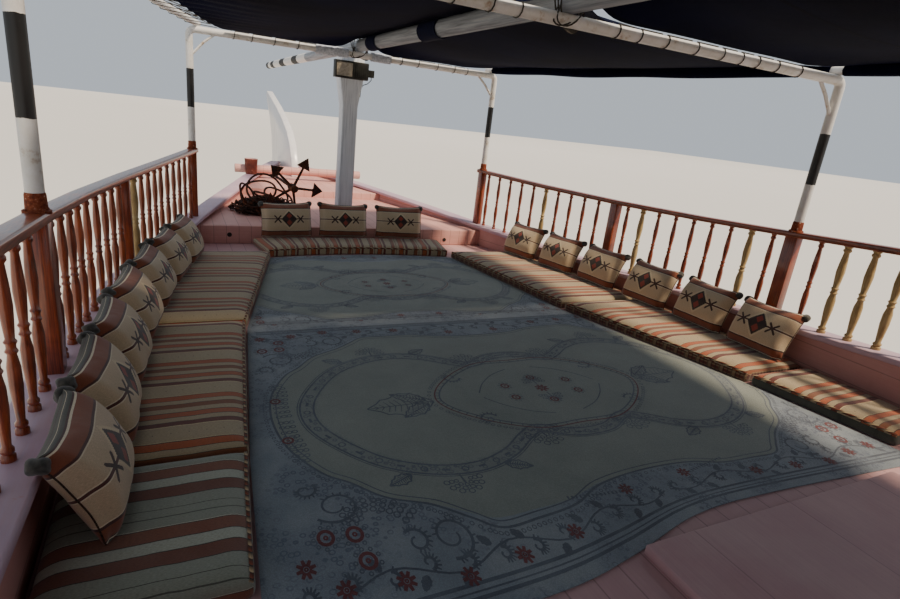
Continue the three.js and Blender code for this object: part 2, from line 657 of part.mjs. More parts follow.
// Helm: a stand against the front wall with the spoked wheel on its aft face
const HELM = { y: HOUSE_FRONT - WALL - 330, z: DECK_Z + 950, r: 290 };
const helm = [
  block(-210, 210, HELM.y + 60, HOUSE_FRONT - WALL - GAP, DECK_Z + GAP, DECK_Z + 1030),
  rod(point(0, HELM.y - 30, HELM.z), point(0, HELM.y + 80, HELM.z), 38, 38, 12),
  new THREE.TorusGeometry(HELM.r, 18, 8, 24).rotateX(Math.PI / 2).translate(0, HELM.y, HELM.z),
];
for (let k = 0; k < 6; k++) {
  const angle = (k * Math.PI) / 3;
  const tip = point(Math.cos(angle) * (HELM.r + 100), HELM.y, HELM.z + Math.sin(angle) * (HELM.r + 100));
  helm.push(rod(point(0, HELM.y, HELM.z), tip, 14, 12, 6));
}
add('helm', join(helm), '#7c3a1e', 0.4);

add('engine', block(-400, 400, -6450, -4950, BAY.floor + GAP, BAY.floor + 900), '#5d6b66', 0.6, 0.3);

// Propeller and its shaft, turning as one
const PROP_Y = -8330;
const propeller = [
  rod(point(0, PROP_Y - 110, SHAFT_Z), point(0, PROP_Y + 90, SHAFT_Z), 66, 66, 12),
  rod(point(0, PROP_Y, SHAFT_Z), point(0, APERTURE_FRONT - GAP, SHAFT_Z), 34, 34, 12),
];
// The blade's outline: distance across, distance from the axis
const BLADE = [
  [-60, 30], [60, 30], [125, 150], [135, 260], [95, 345], [40, PROP_R], [-40, PROP_R], [-110, 320],
  [-130, 200],
];
const BLADE_HALF_THICK = 11;
const BLADE_ANGLE = THREE.MathUtils.degToRad(38);
for (let k = 0; k < 3; k++) {
  const blade = plate(BLADE, -BLADE_HALF_THICK, BLADE_HALF_THICK)
    .rotateX(Math.PI / 2)
    .rotateZ(BLADE_ANGLE)
    .rotateY((k * 2 * Math.PI) / 3)
    .translate(0, PROP_Y, SHAFT_Z);
  propeller.push(blade);
}
add('propeller', join(propeller), '#a8843f', 0.35, 0.9);

// Rudder: blade, round stock standing on the keel's heel, and the yoke at its head
add('rudder', join([
  sidePlate([
    [RUDDER_AXIS_Y, KEEL_TOP + 60], [RUDDER_AXIS_Y - 820, KEEL_TOP + 130],
    [RUDDER_AXIS_Y - 900, -350], [RUDDER_AXIS_Y - 620, 260], [RUDDER_AXIS_Y, 420],
  ], -32, 32),
  rod(point(0, RUDDER_AXIS_Y, KEEL_TOP), point(0, RUDDER_AXIS_Y, 1230), 40, 40, 14),
  block(-220, 220, RUDDER_AXIS_Y - 35, RUDDER_AXIS_Y + 35, YOKE_LOW, YOKE_HIGH),
]), '#54341f', 0.6);

export default group;
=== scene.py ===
"""A wooden dhow fitted out for day trips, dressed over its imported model. Metres,
+X starboard, +Y forward, +Z up, with the waterline at z = 0."""

import random
from math import asin, atan2, ceil, copysign, cos, exp, fmod, hypot, pi, radians, sin, tan

import bmesh
import bpy
from mathutils import Matrix, Vector, noise


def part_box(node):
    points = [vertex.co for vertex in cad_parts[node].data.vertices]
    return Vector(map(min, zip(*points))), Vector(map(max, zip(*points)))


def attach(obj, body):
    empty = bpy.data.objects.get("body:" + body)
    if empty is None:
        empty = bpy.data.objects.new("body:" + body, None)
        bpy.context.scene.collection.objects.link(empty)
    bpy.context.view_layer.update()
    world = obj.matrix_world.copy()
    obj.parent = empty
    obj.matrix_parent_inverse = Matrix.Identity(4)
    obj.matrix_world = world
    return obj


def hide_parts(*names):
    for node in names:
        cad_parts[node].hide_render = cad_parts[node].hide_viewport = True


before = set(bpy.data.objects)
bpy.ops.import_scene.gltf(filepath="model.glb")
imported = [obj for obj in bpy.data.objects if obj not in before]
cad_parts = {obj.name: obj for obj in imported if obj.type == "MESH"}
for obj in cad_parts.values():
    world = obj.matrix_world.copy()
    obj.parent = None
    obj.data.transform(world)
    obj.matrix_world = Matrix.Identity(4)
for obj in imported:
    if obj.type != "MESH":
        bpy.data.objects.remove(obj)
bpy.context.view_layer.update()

# The view is from the port side of the deck, under the aft bay of the awning. It
# looks forward, a little to starboard and down, with the horizon tilted.
CAMERA_AT = (-1.9204, -3.6, 2.927)
CAMERA_TURN = radians(27.028)
CAMERA_DIP = radians(17.719)
CAMERA_TILT = radians(6.576)
ahead = Vector((
    sin(CAMERA_TURN) * cos(CAMERA_DIP),
    cos(CAMERA_TURN) * cos(CAMERA_DIP),
    -sin(CAMERA_DIP),
))
level = Vector((cos(CAMERA_TURN), -sin(CAMERA_TURN), 0))
rise = level.cross(ahead)
right = level * cos(CAMERA_TILT) + rise * sin(CAMERA_TILT)
up = rise * cos(CAMERA_TILT) - level * sin(CAMERA_TILT)
bpy.ops.object.camera_add()
camera = bpy.context.object
camera.matrix_world = Matrix.Translation(CAMERA_AT) @ Matrix((right, up, -ahead)).transposed().to_4x4()
camera.data.lens = 22.5
camera.data.sensor_width = 36
camera.data.clip_start = 0.05
camera.data.clip_end = 500
bpy.context.scene.camera = camera


# A plain pale studio floor lies at the waterline. Its paper is matt and a little
# warm, and takes the soft shadow of the hull.
def linear(code):
    """An sRGB hex colour as the linear values that a shader works in."""
    channels = [int(code[i:i + 2], 16) / 255 for i in (1, 3, 5)]
    return *(c / 12.92 if c <= 0.04045 else ((c + 0.055) / 1.055) ** 2.4 for c in channels), 1.0


def add(material, kind, inputs=(), out=0, stops=None, **named):
    """Adds a shader node; a math node's operation follows its kind, and a mix is one of
    colours. Its inputs come by place, or by name with a capital, and each is a value, a
    hex colour or an output. Names without a capital are the node's own settings."""
    kind, _, operation = kind.partition(" ")
    made = material.node_tree.nodes.new("ShaderNode" + kind)
    if operation:
        made.operation = operation
    if kind == "Mix":
        made.data_type, out, inputs = "RGBA", 2, dict(zip((0, 6, 7), inputs))
    inputs = dict(inputs if isinstance(inputs, dict) else enumerate(inputs))
    for name, value in named.items():
        if name[0].isupper():
            inputs[name] = value
        else:
            setattr(made, name, value)
    for name, value in inputs.items():
        if isinstance(value, bpy.types.NodeSocket):
            material.node_tree.links.new(value, made.inputs[name])
        else:
            made.inputs[name].default_value = linear(value) if isinstance(value, str) else value
    if stops:
        ramp = made.color_ramp
        while len(ramp.elements) < len(stops):
            ramp.elements.new(0.5)
        for element, (at, colour) in zip(ramp.elements, stops):
            element.position = at
        for element, (at, colour) in zip(ramp.elements, stops):
            element.color = linear(colour)
    return made.outputs[out]


def start_material(name, colour, roughness, **shader_sockets):
    """A material with its Principled shader, whose uniform values sit on the shader's own sockets."""
    material = bpy.data.materials.new(name)
    material.use_nodes = True
    shader = material.node_tree.nodes["Principled BSDF"]
    shader.inputs["Base Color"].default_value = linear(colour)
    shader.inputs["Roughness"].default_value = roughness
    for socket, value in shader_sockets.items():
        shader.inputs[socket.replace("_", " ")].default_value = value
    return material


def connect(material, relief=None, **outputs):
    """Links node outputs to the shader's sockets, such as Base_Color or Normal. Relief is an
    output that raises the surface, with its strength and its depth in metres."""
    shader = material.node_tree.nodes["Principled BSDF"]
    if relief:
        height, strength, depth = relief
        outputs["Normal"] = add(material, "Bump", Height=height, Strength=strength, Distance=depth)
    for socket, output in outputs.items():
        material.node_tree.links.new(output, shader.inputs[socket.replace("_", " ")])


studio_paper = start_material("studio_paper", "#dcdad5", 0.9)
paper_tooth = add(studio_paper, "TexNoise", Scale=3.0, Detail=4.0)
connect(studio_paper, Base_Color=add(
    studio_paper, "ValToRGB", [paper_tooth], stops=[(0.3, "#d6d4cf"), (0.7, "#e0deda")]))
bpy.ops.mesh.primitive_plane_add(size=300, location=(0, 0, 0))
floor = bpy.context.object
floor.name = "studio_floor"
floor.data.materials.append(studio_paper)

# The light is a pale sky all round and one broad warm light over the starboard
# quarter, so the inside of the boat is lit from the side under the awning.
world = bpy.data.worlds.new("studio_sky")
world.use_nodes = True
sky = world.node_tree.nodes["Background"]
sky.inputs["Color"].default_value = linear("#dfe8f2")
sky.inputs["Strength"].default_value = 0.7
bpy.context.scene.world = world
bpy.ops.object.light_add(type="SUN")
key_light = bpy.context.object
key_light.data.energy = 5.0
key_light.data.angle = radians(6)
key_light.data.color = linear("#ffe9cc")[:3]
light_runs = Vector((-0.44, 0.55, -1.0))
key_light.rotation_mode = "QUATERNION"
key_light.rotation_quaternion = light_runs.to_track_quat("-Z", "Y")

# The hull is carvel planked in teak: edge-joined strakes fastened to frames, with a
# heavy wale under the deck edge. It is oiled above the water and limed below it.
DECK = 1.35
# y, half-beam, height of the cap's top above the deck
SHEER = [
    (-8.7, 1.75, 0.95), (-7.5, 2.02, 0.78), (-6.0, 2.24, 0.64), (-4.0, 2.4, 0.5),
    (-2.4, 2.44, 0.43), (-0.84, 2.43, 0.325), (0.0, 2.385, 0.278), (1.0, 2.25, 0.248),
    (2.0, 2.03, 0.248), (3.06, 1.745, 0.275), (4.0, 1.46, 0.312), (5.0, 1.145, 0.345),
    (6.0, 0.85, 0.37), (7.0, 0.53, 0.385), (7.7, 0.29, 0.395), (8.2, 0.105, 0.402),
]
# y, height of the planking's lower edge
GARBOARD = [(-8.7, -1.15), (4.3, -1.15), (5.0, -0.96), (5.7, -0.48), (6.72, 0.418), (7.7, 1.28)]
STRAKES = 15


def read_table(table, y, column):
    """A table's value at y, straight between its rows."""
    for (low, high) in zip(table, table[1:]):
        if y <= high[0]:
            part = max(0.0, (y - low[0]) / (high[0] - low[0]))
            return low[column] + part * (high[column] - low[column])
    return table[-1][column]


def half_beam(y):
    return read_table(SHEER, y, 1)


def cap_top(y):
    return DECK + read_table(SHEER, y, 2)


def begin(kind, name, **settings):
    """Adds a mesh primitive with nothing else selected."""
    bpy.ops.object.select_all(action="DESELECT")
    getattr(bpy.ops.mesh, f"primitive_{kind}_add")(**settings)
    piece = bpy.context.object
    piece.name = name
    return piece


def select_only(*chosen):
    bpy.ops.object.select_all(action="DESELECT")
    for piece in chosen:
        piece.select_set(True)
    bpy.context.view_layer.objects.active = chosen[0]


def new_piece(name, mesh):
    piece = bpy.data.objects.new(name, mesh)
    bpy.context.collection.objects.link(piece)
    return piece


def copy_of(node, name):
    """A new piece with a CAD node's shape, its triangles merged into flat faces."""
    piece = new_piece(name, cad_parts[node].data.copy())
    piece.data.materials.clear()
    shell = bmesh.new()
    shell.from_mesh(piece.data)
    bmesh.ops.remove_doubles(shell, verts=shell.verts, dist=0.0002)
    bmesh.ops.dissolve_limit(shell, angle_limit=radians(0.6), verts=shell.verts, edges=shell.edges)
    shell.to_mesh(piece.data)
    shell.free()
    return piece


def apply_place():
    bpy.ops.object.transform_apply(location=True, rotation=True, scale=True)


def settle(piece, material, nodes=(), body="boat", smooth=35):
    """Puts a piece's place into its mesh, gives it its finish and lets it ride on its body."""
    select_only(piece)
    apply_place()
    if material:
        piece.data.materials.clear()
        piece.data.materials.append(material)
    bpy.ops.object.shade_smooth_by_angle(angle=radians(smooth))
    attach(piece, body)
    if nodes:
        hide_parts(*nodes)
    return piece


def away_from(material, value, centre):
    """How far a value is from a centre, either way."""
    return add(material, "Math ABSOLUTE", [add(material, "Math SUBTRACT", [value, centre])])


# Oiled teak: brown planks that differ a little from one to the next, dark seams
# between them, long grain, and a bloom of salt low down.
planks = start_material("oiled_teak_planks", "#6b3f26", 0.48)
place = add(planks, "TexCoord", out="Object")
strake = add(planks, "Attribute", attribute_name="strake", out="Fac")
strake_run = add(planks, "Math MULTIPLY", [strake, float(STRAKES)])
strake_part = add(planks, "Math FRACT", [strake_run])
strake_number = add(planks, "Math FLOOR", [strake_run])
from_middle = away_from(planks, strake_part, 0.5)
seam = add(planks, "MapRange", [from_middle, 0.462, 0.485, 0.0, 1.0])
plank_tint = add(planks, "TexWhiteNoise", W=strake_number, noise_dimensions="1D")
grain_place = add(planks, "Mapping", Vector=place, Scale=(30.0, 1.4, 46.0))
grain = add(planks, "TexNoise", Vector=grain_place, Scale=1.0, Detail=6.0, Roughness=0.62)
teak = add(planks, "ValToRGB", [grain], stops=[(0.3, "#4d2a17"), (0.55, "#74452a"), (0.75, "#8a5a38")])
tinted = add(planks, "Mix", [plank_tint, teak, "#5a331d"])
height = add(planks, "SeparateXYZ", [place], out="Z")
lime_edge = add(planks, "TexNoise", Vector=place, Scale=5.0, Detail=5.0)
lime_height = add(planks, "Math MULTIPLY_ADD", [lime_edge, 0.06, height])
limed = add(planks, "MapRange", [lime_height, 0.2, 0.225, 1.0, 0.0])
hull_colour = add(planks, "Mix", [limed, tinted, "#c9c4b4"])
hull_colour = add(planks, "Mix", [seam, hull_colour, "#241309"])
plank_relief = add(planks, "Math MULTIPLY_ADD", [seam, -3.0, grain])
connect(
    planks,
    Base_Color=hull_colour,
    Roughness=add(planks, "MapRange", {0: grain, 3: 0.38, 4: 0.62}),
    relief=(plank_relief, 0.5, 0.004),
)

hull_planking = copy_of("hull", "hull_planking")
strake_share = hull_planking.data.attributes.new("strake", "FLOAT", "POINT")
for vertex in hull_planking.data.vertices:
    low = read_table(GARBOARD, vertex.co.y, 1)
    strake_share.data[vertex.index].value = (vertex.co.z - low) / (DECK - low)
settle(hull_planking, planks, ["hull"], smooth=24)


# The keel is one long squared timber under the planking, tarred below and worn pale
# along its corners where it has sat on the hard.
def eased_copy(node, name, material, ease=0.005, body="boat", smooth=35):
    """A CAD timber with its sharp corners rounded off, as planed and sanded wood is."""
    piece = copy_of(node, name)
    ease_edges(piece, ease)
    return settle(piece, material, [node], body, smooth)


def worked(piece, kind, **settings):
    """Applies one modifier to the piece."""
    select_only(piece)
    step = piece.modifiers.new("step", kind)
    for name, value in settings.items():
        setattr(step, name, value)
    bpy.ops.object.modifier_apply(modifier=step.name)


def ease_edges(piece, width, segments=2, angle=28):
    worked(piece, "BEVEL", width=width, segments=segments, limit_method="ANGLE", angle_limit=radians(angle))


def mottled(name, colour, roughness, mottle, stops, relief, gloss=None, stretch=None, **shader_sockets):
    """A finish with one mottle of its own: mottle is its scale, detail and roughness, stops
    its colours, relief its strength and depth in metres, gloss the roughness at its two ends."""
    material = start_material(name, colour, roughness, **shader_sockets)
    place = add(material, "TexCoord", out="Object")
    if stretch:
        place = add(material, "Mapping", Vector=place, Scale=stretch)
    scale, detail, rough = mottle
    spots = add(material, "TexNoise", Vector=place, Scale=scale, Detail=detail, Roughness=rough)
    connect(material, relief and (spots, *relief), Base_Color=add(material, "ValToRGB", [spots], stops=stops))
    if gloss:
        connect(material, Roughness=add(material, "MapRange", {0: spots, 3: gloss[0], 4: gloss[1]}))
    return material


# Matt bottom paint: blotched with weed stain and thin where the timber rubbed.
bottom_paint = mottled(
    "bottom_paint", "#3d4a55", 0.85, (4.0, 7.0, 0.65),
    [(0.3, "#2c3a40"), (0.52, "#445562"), (0.68, "#566a58"), (0.8, "#7c7a68")], (0.3, 0.003))
eased_copy("keel", "keel_timber", bottom_paint, 0.012)


# The deck is laid fore and aft in narrow boards, caulked and painted dusty pink. The
# paint is brushed on, chalky, and scuffed to a paler coat where feet pass.
def brushed_paint(
        name, fresh, chalky, bare, board=0.0, across="X", grain=(120.0, 3.0, 120.0),
        roughness=0.58, seam_depth_and_shade=0.4):
    """Oil paint brushed along a timber, with caulked joints every board metres across it. Each joint is sunk,
    and painted shade darkens it.
    """
    paint = start_material(name, fresh, roughness)
    place = add(paint, "TexCoord", out="Object")
    patches = add(paint, "TexNoise", Vector=place, Scale=2.3, Detail=6.0, Roughness=0.6)
    strokes_at = add(paint, "Mapping", Vector=place, Scale=grain)
    strokes = add(paint, "TexNoise", Vector=strokes_at, Scale=1.0, Detail=4.0, Roughness=0.6)
    chips = add(paint, "TexNoise", Vector=place, Scale=21.0, Detail=8.0, Roughness=0.72)
    colour = add(paint, "ValToRGB", [patches], stops=[(0.32, fresh), (0.68, chalky)])
    streaked = add(paint, "MapRange", [strokes, 0.35, 0.8, 0.0, 0.35])
    colour = add(paint, "Mix", [streaked, colour, bare])
    chipped = add(paint, "MapRange", [chips, 0.66, 0.71, 0.0, 0.75])
    colour = add(paint, "Mix", [chipped, colour, bare])
    relief = add(paint, "Math MULTIPLY_ADD", [chipped, -0.6, strokes])
    if board:
        run = add(paint, "SeparateXYZ", [place], out=across)
        run = add(paint, "Math MULTIPLY", [run, 1 / board])
        number = add(paint, "Math FLOOR", [run])
        part = add(paint, "Math FRACT", [run])
        part = away_from(paint, part, 0.5)
        edge = 0.5 - 0.002 / board
        joint = add(paint, "MapRange", [part, edge - 0.0025 / board, edge, 0.0, 1.0])
        tone = add(paint, "TexWhiteNoise", W=number, noise_dimensions="1D")
        tone = add(paint, "Math MULTIPLY", [tone, 0.25])
        colour = add(paint, "Mix", [tone, colour, chalky])
        # Painted shade in the seams: each sunk joint is darkened towards deep mauve, as its groove would be
        # in shade.
        painted_hollow_shade = add(paint, "Math MULTIPLY", [joint, seam_depth_and_shade])
        colour = add(paint, "Mix", [painted_hollow_shade, colour, "#5a3c3c"])
        relief = add(paint, "Math MULTIPLY_ADD", [joint, -4.0 * seam_depth_and_shade, relief])
    connect(
        paint,
        Base_Color=colour,
        Roughness=add(paint, "MapRange", {0: patches, 3: roughness - 0.14, 4: roughness + 0.16}),
        relief=(relief, 0.35, 0.0015),
    )
    return paint


pink_deck_paint = brushed_paint("pink_deck_paint", "#c2969a", "#cda8a8", "#ab8286", board=0.14)

# The deck's carried-over solid takes the paint; the carpets and mattresses cover
# most of it. The hatch cover beside them is a boarded lid with rounded edges.
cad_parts["deck"].material_slots[0].material = pink_deck_paint
pink_hatch_paint = brushed_paint("pink_hatch_paint", "#c2969a", "#cfacac", "#a87f84", board=0.63, seam_depth_and_shade=0.3)
eased_copy("deck_hatch", "hatch_cover", pink_hatch_paint, 0.007)

# The bulwarks are planks standing on the deck edge, painted pink inside and white
# outside, with the timber heads covered by the cap.
SIDES = (("port", -1), ("starboard", 1))
pink_bulwark_paint = brushed_paint(
    "pink_bulwark_paint", "#c78b83", "#d8a69e", "#b47a72", board=0.16, across="Z")
white_strake_paint = brushed_paint(
    "white_strake_paint", "#dcdcd6", "#eceae3", "#b7b3a8", board=0.16, across="Z")
for label, side in SIDES:
    bulwark = eased_copy(
        f"bulwark_{label}", f"bulwark_planks_{label}", pink_bulwark_paint, 0.004)
    bulwark.data.materials.append(white_strake_paint)
    for face in bulwark.data.polygons:
        if face.normal.x * side > 0.5:
            face.material_index = 1
transom_planks = eased_copy(
    "transom_bulwark", "transom_planks", pink_bulwark_paint, 0.006)
transom_planks.data.materials.append(white_strake_paint)
for face in transom_planks.data.polygons:
    if face.normal.y < -0.5:
        face.material_index = 1

# The caps are broad boards bent along the bulwark tops. Their lavender paint has
# bleached unevenly, and shows pink undercoat along the worn edges.
lavender_cap_paint = brushed_paint(
    "lavender_cap_paint", "#b9a0b4", "#cdb6c2", "#c58f88", grain=(60.0, 2.0, 60.0), roughness=0.5)
for label in ("port", "starboard"):
    eased_copy(f"cap_rail_{label}", f"cap_board_{label}", lavender_cap_paint, 0.011)

# The foredeck starts with a low boxed step right across, with a drain hole through
# its face at each side. It is boarded like the deck, with a nosing strip.
STEP_FACE_Y = 2.92
STEP_TOP = DECK + 0.2
pink_step_paint = brushed_paint(
    "pink_step_paint", "#c98f86", "#dbaaa0", "#ad746b", board=0.13, grain=(3.0, 80.0, 80.0))
eased_copy("foredeck_step", "foredeck_boards", pink_step_paint, 0.01)
# Dark grimy rubber: the hose rim round each drain hole, and a flat dark disc in each hole's mouth that is
# painted shade for the hole's dark inside.
drain_rubber = start_material("drain_pipe_rubber", "#1b1513", 0.75)
grime = add(drain_rubber, "TexNoise", Scale=90.0, Detail=3.0)
connect(drain_rubber, Base_Color=add(
    drain_rubber, "ValToRGB", [grime], stops=[(0.3, "#120e0d"), (0.8, "#33261f")]))
upright = (radians(90), 0, 0)
for number, (x, z) in enumerate(((-1.40, DECK + 0.10), (1.22, DECK + 0.07)), 1):
    collar = begin(
        "torus", f"drain_collar_{number}", location=(x, STEP_FACE_Y - 0.001, z), rotation=upright,
        major_radius=0.019, minor_radius=0.006, major_segments=20, minor_segments=8)
    settle(collar, drain_rubber)
    # A dark disc fills the mouth of the hole: painted shade for its inside.
    hole_shade_disc = begin(
        "cylinder", f"drain_bore_{number}", location=(x, STEP_FACE_Y - 0.002, z), rotation=upright,
        vertices=20, radius=0.018, depth=0.006)
    ease_edges(hole_shade_disc, 0.0015)
    settle(hole_shade_disc, drain_rubber)

# The bow deck rises to the stem as one crowned, painted surface, with a small block
# bedded against the stem's foot and a timber across it for hauling the anchor.
pink_bow_paint = brushed_paint(
    "pink_bow_paint", "#d0968c", "#e0aea3", "#b88078", board=0.15, grain=(70.0, 3.0, 70.0))
eased_copy("bow_deck", "bow_deck_boards", pink_bow_paint, 0.008)
cathead = eased_copy("cathead_beam", "cathead_timber", pink_bow_paint, 0.012)
# The bollard's sides show bare oxide primer, a matt brick red, under its pink head.
oxide_primer = mottled(
    "brick_red_primer", "#6e2f20", 0.8, (12.0, 6.0, 0.65),
    [(0.35, "#54221a"), (0.6, "#7a3826"), (0.78, "#c08c80")], (0.3, 0.002))
cathead.data.materials.append(oxide_primer)
BOLLARD_AT, BOLLARD_HEAD, BEAM_FACE_Y = Vector((-0.8, 6.19)), 1.94, 6.24
for face in cathead.data.polygons:
    beside = (face.center.xy - BOLLARD_AT).length < 0.13 and face.center.y < BEAM_FACE_Y
    if beside and face.center.z < BOLLARD_HEAD:
        face.material_index = 1

# The stem is a raked timber with a broad curved head scarfed on over the bow. It has
# thick white gloss paint all over, rain-streaked and flaked along the grain.
stem_paint = start_material("white_gloss_paint", "#eceae8", 0.32, Coat_Weight=0.25, Coat_Roughness=0.2)
place = add(stem_paint, "TexCoord", out="Object")
runs_at = add(stem_paint, "Mapping", Vector=place, Scale=(9.0, 9.0, 1.2))
rain_runs = add(stem_paint, "TexNoise", Vector=runs_at, Scale=1.0, Detail=6.0)
flakes = add(stem_paint, "TexNoise", Vector=place, Scale=16.0, Detail=8.0, Roughness=0.7)
flaked = add(stem_paint, "MapRange", [flakes, 0.67, 0.72])
gloss = add(stem_paint, "ValToRGB", [rain_runs], stops=[(0.3, "#f1f0ee"), (0.6, "#e8e7e9"), (0.8, "#d8d7dc")])
gloss = add(stem_paint, "Mix", [flaked, gloss, "#a39a92"])
connect(stem_paint, Base_Color=gloss, relief=(flakes, 0.25, 0.001))
eased_copy("stem_post", "stem_timber", stem_paint, 0.014)
eased_copy("stern_post", "stern_timber", planks, 0.01)

# The mast stub is a squared timber with a flared head, painted grey-white and
# weathered so that the long grain and drying cracks show through.
mast_paint = start_material("weathered_mast_paint", "#b4b5b3", 0.7)
place = add(mast_paint, "TexCoord", out="Object")
fibres_at = add(mast_paint, "Mapping", Vector=place, Scale=(70.0, 70.0, 2.2))
fibres = add(mast_paint, "TexNoise", Vector=fibres_at, Scale=1.0, Detail=7.0, Roughness=0.6)
bleached = add(mast_paint, "TexNoise", Vector=place, Scale=3.0, Detail=5.0)
mast_colour = add(
    mast_paint, "ValToRGB", [fibres], stops=[(0.3, "#b2bac5"), (0.5, "#dce3eb"), (0.7, "#e9eff6")])
pale_share = add(mast_paint, "MapRange", [bleached, 0.4, 0.7, 0.0, 0.55])
mast_colour = add(mast_paint, "Mix", [pale_share, mast_colour, "#e6edf6"])
connect(mast_paint, Base_Color=mast_colour, relief=(fibres, 0.45, 0.002))
eased_copy("mast", "mast_timber", mast_paint, 0.012)

# Railings of varnished mahogany stand on the caps: a moulded top rail over square
# newels and turned balusters, pegged at both ends. Some balusters are raw spares.
RAIL_TOP = 0.711
RAIL_THICK = 0.045
RAIL_FORE = 3.12
RAIL_AFT = -4.8
NEWELS = (3.06, 1.0, -0.84, -2.79, -4.74)
BALUSTER_PITCH = 0.19
SPARES = {"port": (1.22,), "starboard": (1.98, 0.65, -0.49, -1.25, -1.44, -1.63)}
# share of the height, radius: rings and two long vase shapes
TURNING = (
    (0.0, 0.0225), (0.035, 0.0225), (0.045, 0.015), (0.055, 0.0205), (0.07, 0.0205), (0.085, 0.0135),
    (0.16, 0.0165), (0.28, 0.0218), (0.38, 0.0215), (0.45, 0.0145), (0.465, 0.0205), (0.48, 0.0155),
    (0.5, 0.0155), (0.515, 0.0205), (0.53, 0.0145), (0.6, 0.018), (0.7, 0.0218), (0.8, 0.019),
    (0.91, 0.0135), (0.925, 0.0205), (0.94, 0.0205), (0.955, 0.0155), (0.97, 0.0215), (1.0, 0.0215),
)


# Varnished mahogany: deep red-brown under a glossy coat, with long pores and ribbon
# figure, darker where the varnish has pooled. Grain runs along the piece.
def varnished_wood(name, dark, middle, light, stretch, coat=0.7, roughness=0.34):
    wood = start_material(name, middle, roughness, Coat_Weight=coat, Coat_Roughness=0.12)
    place = add(wood, "TexCoord", out="Object")
    ribbon = add(wood, "TexNoise", Vector=place, Scale=6.0, Detail=3.0, Distortion=0.6)
    pores_at = add(wood, "Mapping", Vector=place, Scale=stretch)
    pores = add(wood, "TexNoise", Vector=pores_at, Scale=1.0, Detail=7.0, Roughness=0.66)
    figure = add(wood, "Math MULTIPLY_ADD", [ribbon, 0.5, pores])
    connect(
        wood,
        Base_Color=add(wood, "ValToRGB", [figure], stops=[(0.52, dark), (0.74, middle), (0.98, light)]),
        Roughness=add(wood, "MapRange", {0: ribbon, 3: roughness - 0.08, 4: roughness + 0.14}),
        relief=(pores, 0.22, 0.001),
    )
    return wood


upright_mahogany = varnished_wood(
    "varnished_mahogany_uprights", "#46180a", "#8a3a18", "#ac5526", (190.0, 190.0, 5.0))
rail_mahogany = varnished_wood(
    "varnished_mahogany_rails", "#481a09", "#863c1b", "#a85729", (150.0, 4.0, 150.0))
raw_pine = varnished_wood(
    "raw_turned_pine", "#8d7447", "#b59a68", "#cfb886", (150.0, 150.0, 6.0), 0.0, 0.62)


def edit_all():
    bpy.ops.object.mode_set(mode="EDIT")
    bpy.ops.mesh.select_all(action="SELECT")


def extrude(move):
    bpy.ops.mesh.extrude_region_move(TRANSFORM_OT_translate={"value": move})


def end_edit():
    """Back from edit mode, with every face turned outwards."""
    bpy.ops.mesh.select_all(action="SELECT")
    bpy.ops.mesh.normals_make_consistent(inside=False)
    bpy.ops.object.mode_set(mode="OBJECT")


def turned_piece(name, profile, foot, height, girth=1.0, sides=12):
    """A piece off the lathe: a disc drawn upwards ring by ring, as the profile says."""
    first = profile[0][1] * girth
    piece = begin("circle", name, vertices=sides, radius=first, fill_type="NGON", location=foot)
    edit_all()
    for (share, radius), (next_share, next_radius) in zip(profile, profile[1:]):
        extrude((0, 0, (next_share - share) * height))
        centre = (foot[0], foot[1], foot[2] + next_share * height)
        bpy.ops.transform.resize(
            value=(next_radius / radius, next_radius / radius, 1), center_override=centre)
    end_edit()
    return piece


def copy_to(pattern, name, move, stretch=1.0):
    """A copy of a finished pattern with its own mesh, moved and made longer or shorter upwards."""
    piece = new_piece(name, pattern.data.copy())
    piece.data.transform(Matrix.Translation(move) @ Matrix.Diagonal((1, 1, stretch, 1)))
    return piece


def join_pieces(name, pieces):
    select_only(*pieces)
    bpy.ops.object.join()
    joined = bpy.context.object
    joined.name = name
    return joined


def stations(aft, fore):
    """The stations between two ends, at every row of the sheer, where the sides bend."""
    return [aft] + [row[0] for row in SHEER if aft + 0.01 < row[0] < fore - 0.01] + [fore]


def bent_rail(name, side, rows, half_width, low, high):
    """A timber along the boat's side: one end face drawn from station to station."""
    y = rows[0]
    middle = (side * half_beam(y), y, (low(y) + high(y)) / 2)
    piece = begin("plane", name, size=1, location=middle, rotation=(pi / 2, 0, 0))
    piece.scale = (2 * half_width, high(y) - low(y), 1)
    apply_place()
    edit_all()
    for here, there in zip(rows, rows[1:]):
        across = side * (half_beam(there) - half_beam(here))
        climb = high(there) - high(here)
        extrude((across, there - here, climb))
    end_edit()
    ease_edges(piece, 0.011, 3, 40)
    return piece


baluster = turned_piece("baluster_pattern", TURNING, (0, 0, 0), 1.0)
spare_turning = tuple((share, radius * 1.32) for share, radius in TURNING)
spare_baluster = turned_piece("spare_pattern", spare_turning, (0, 0, 0), 1.0)
newel = begin("cube", "newel_pattern", size=1, location=(0, 0, 0.5), scale=(0.08, 0.1, 1))
apply_place()
ease_edges(newel, 0.006)


def rail_height(y):
    return cap_top(y) + RAIL_TOP


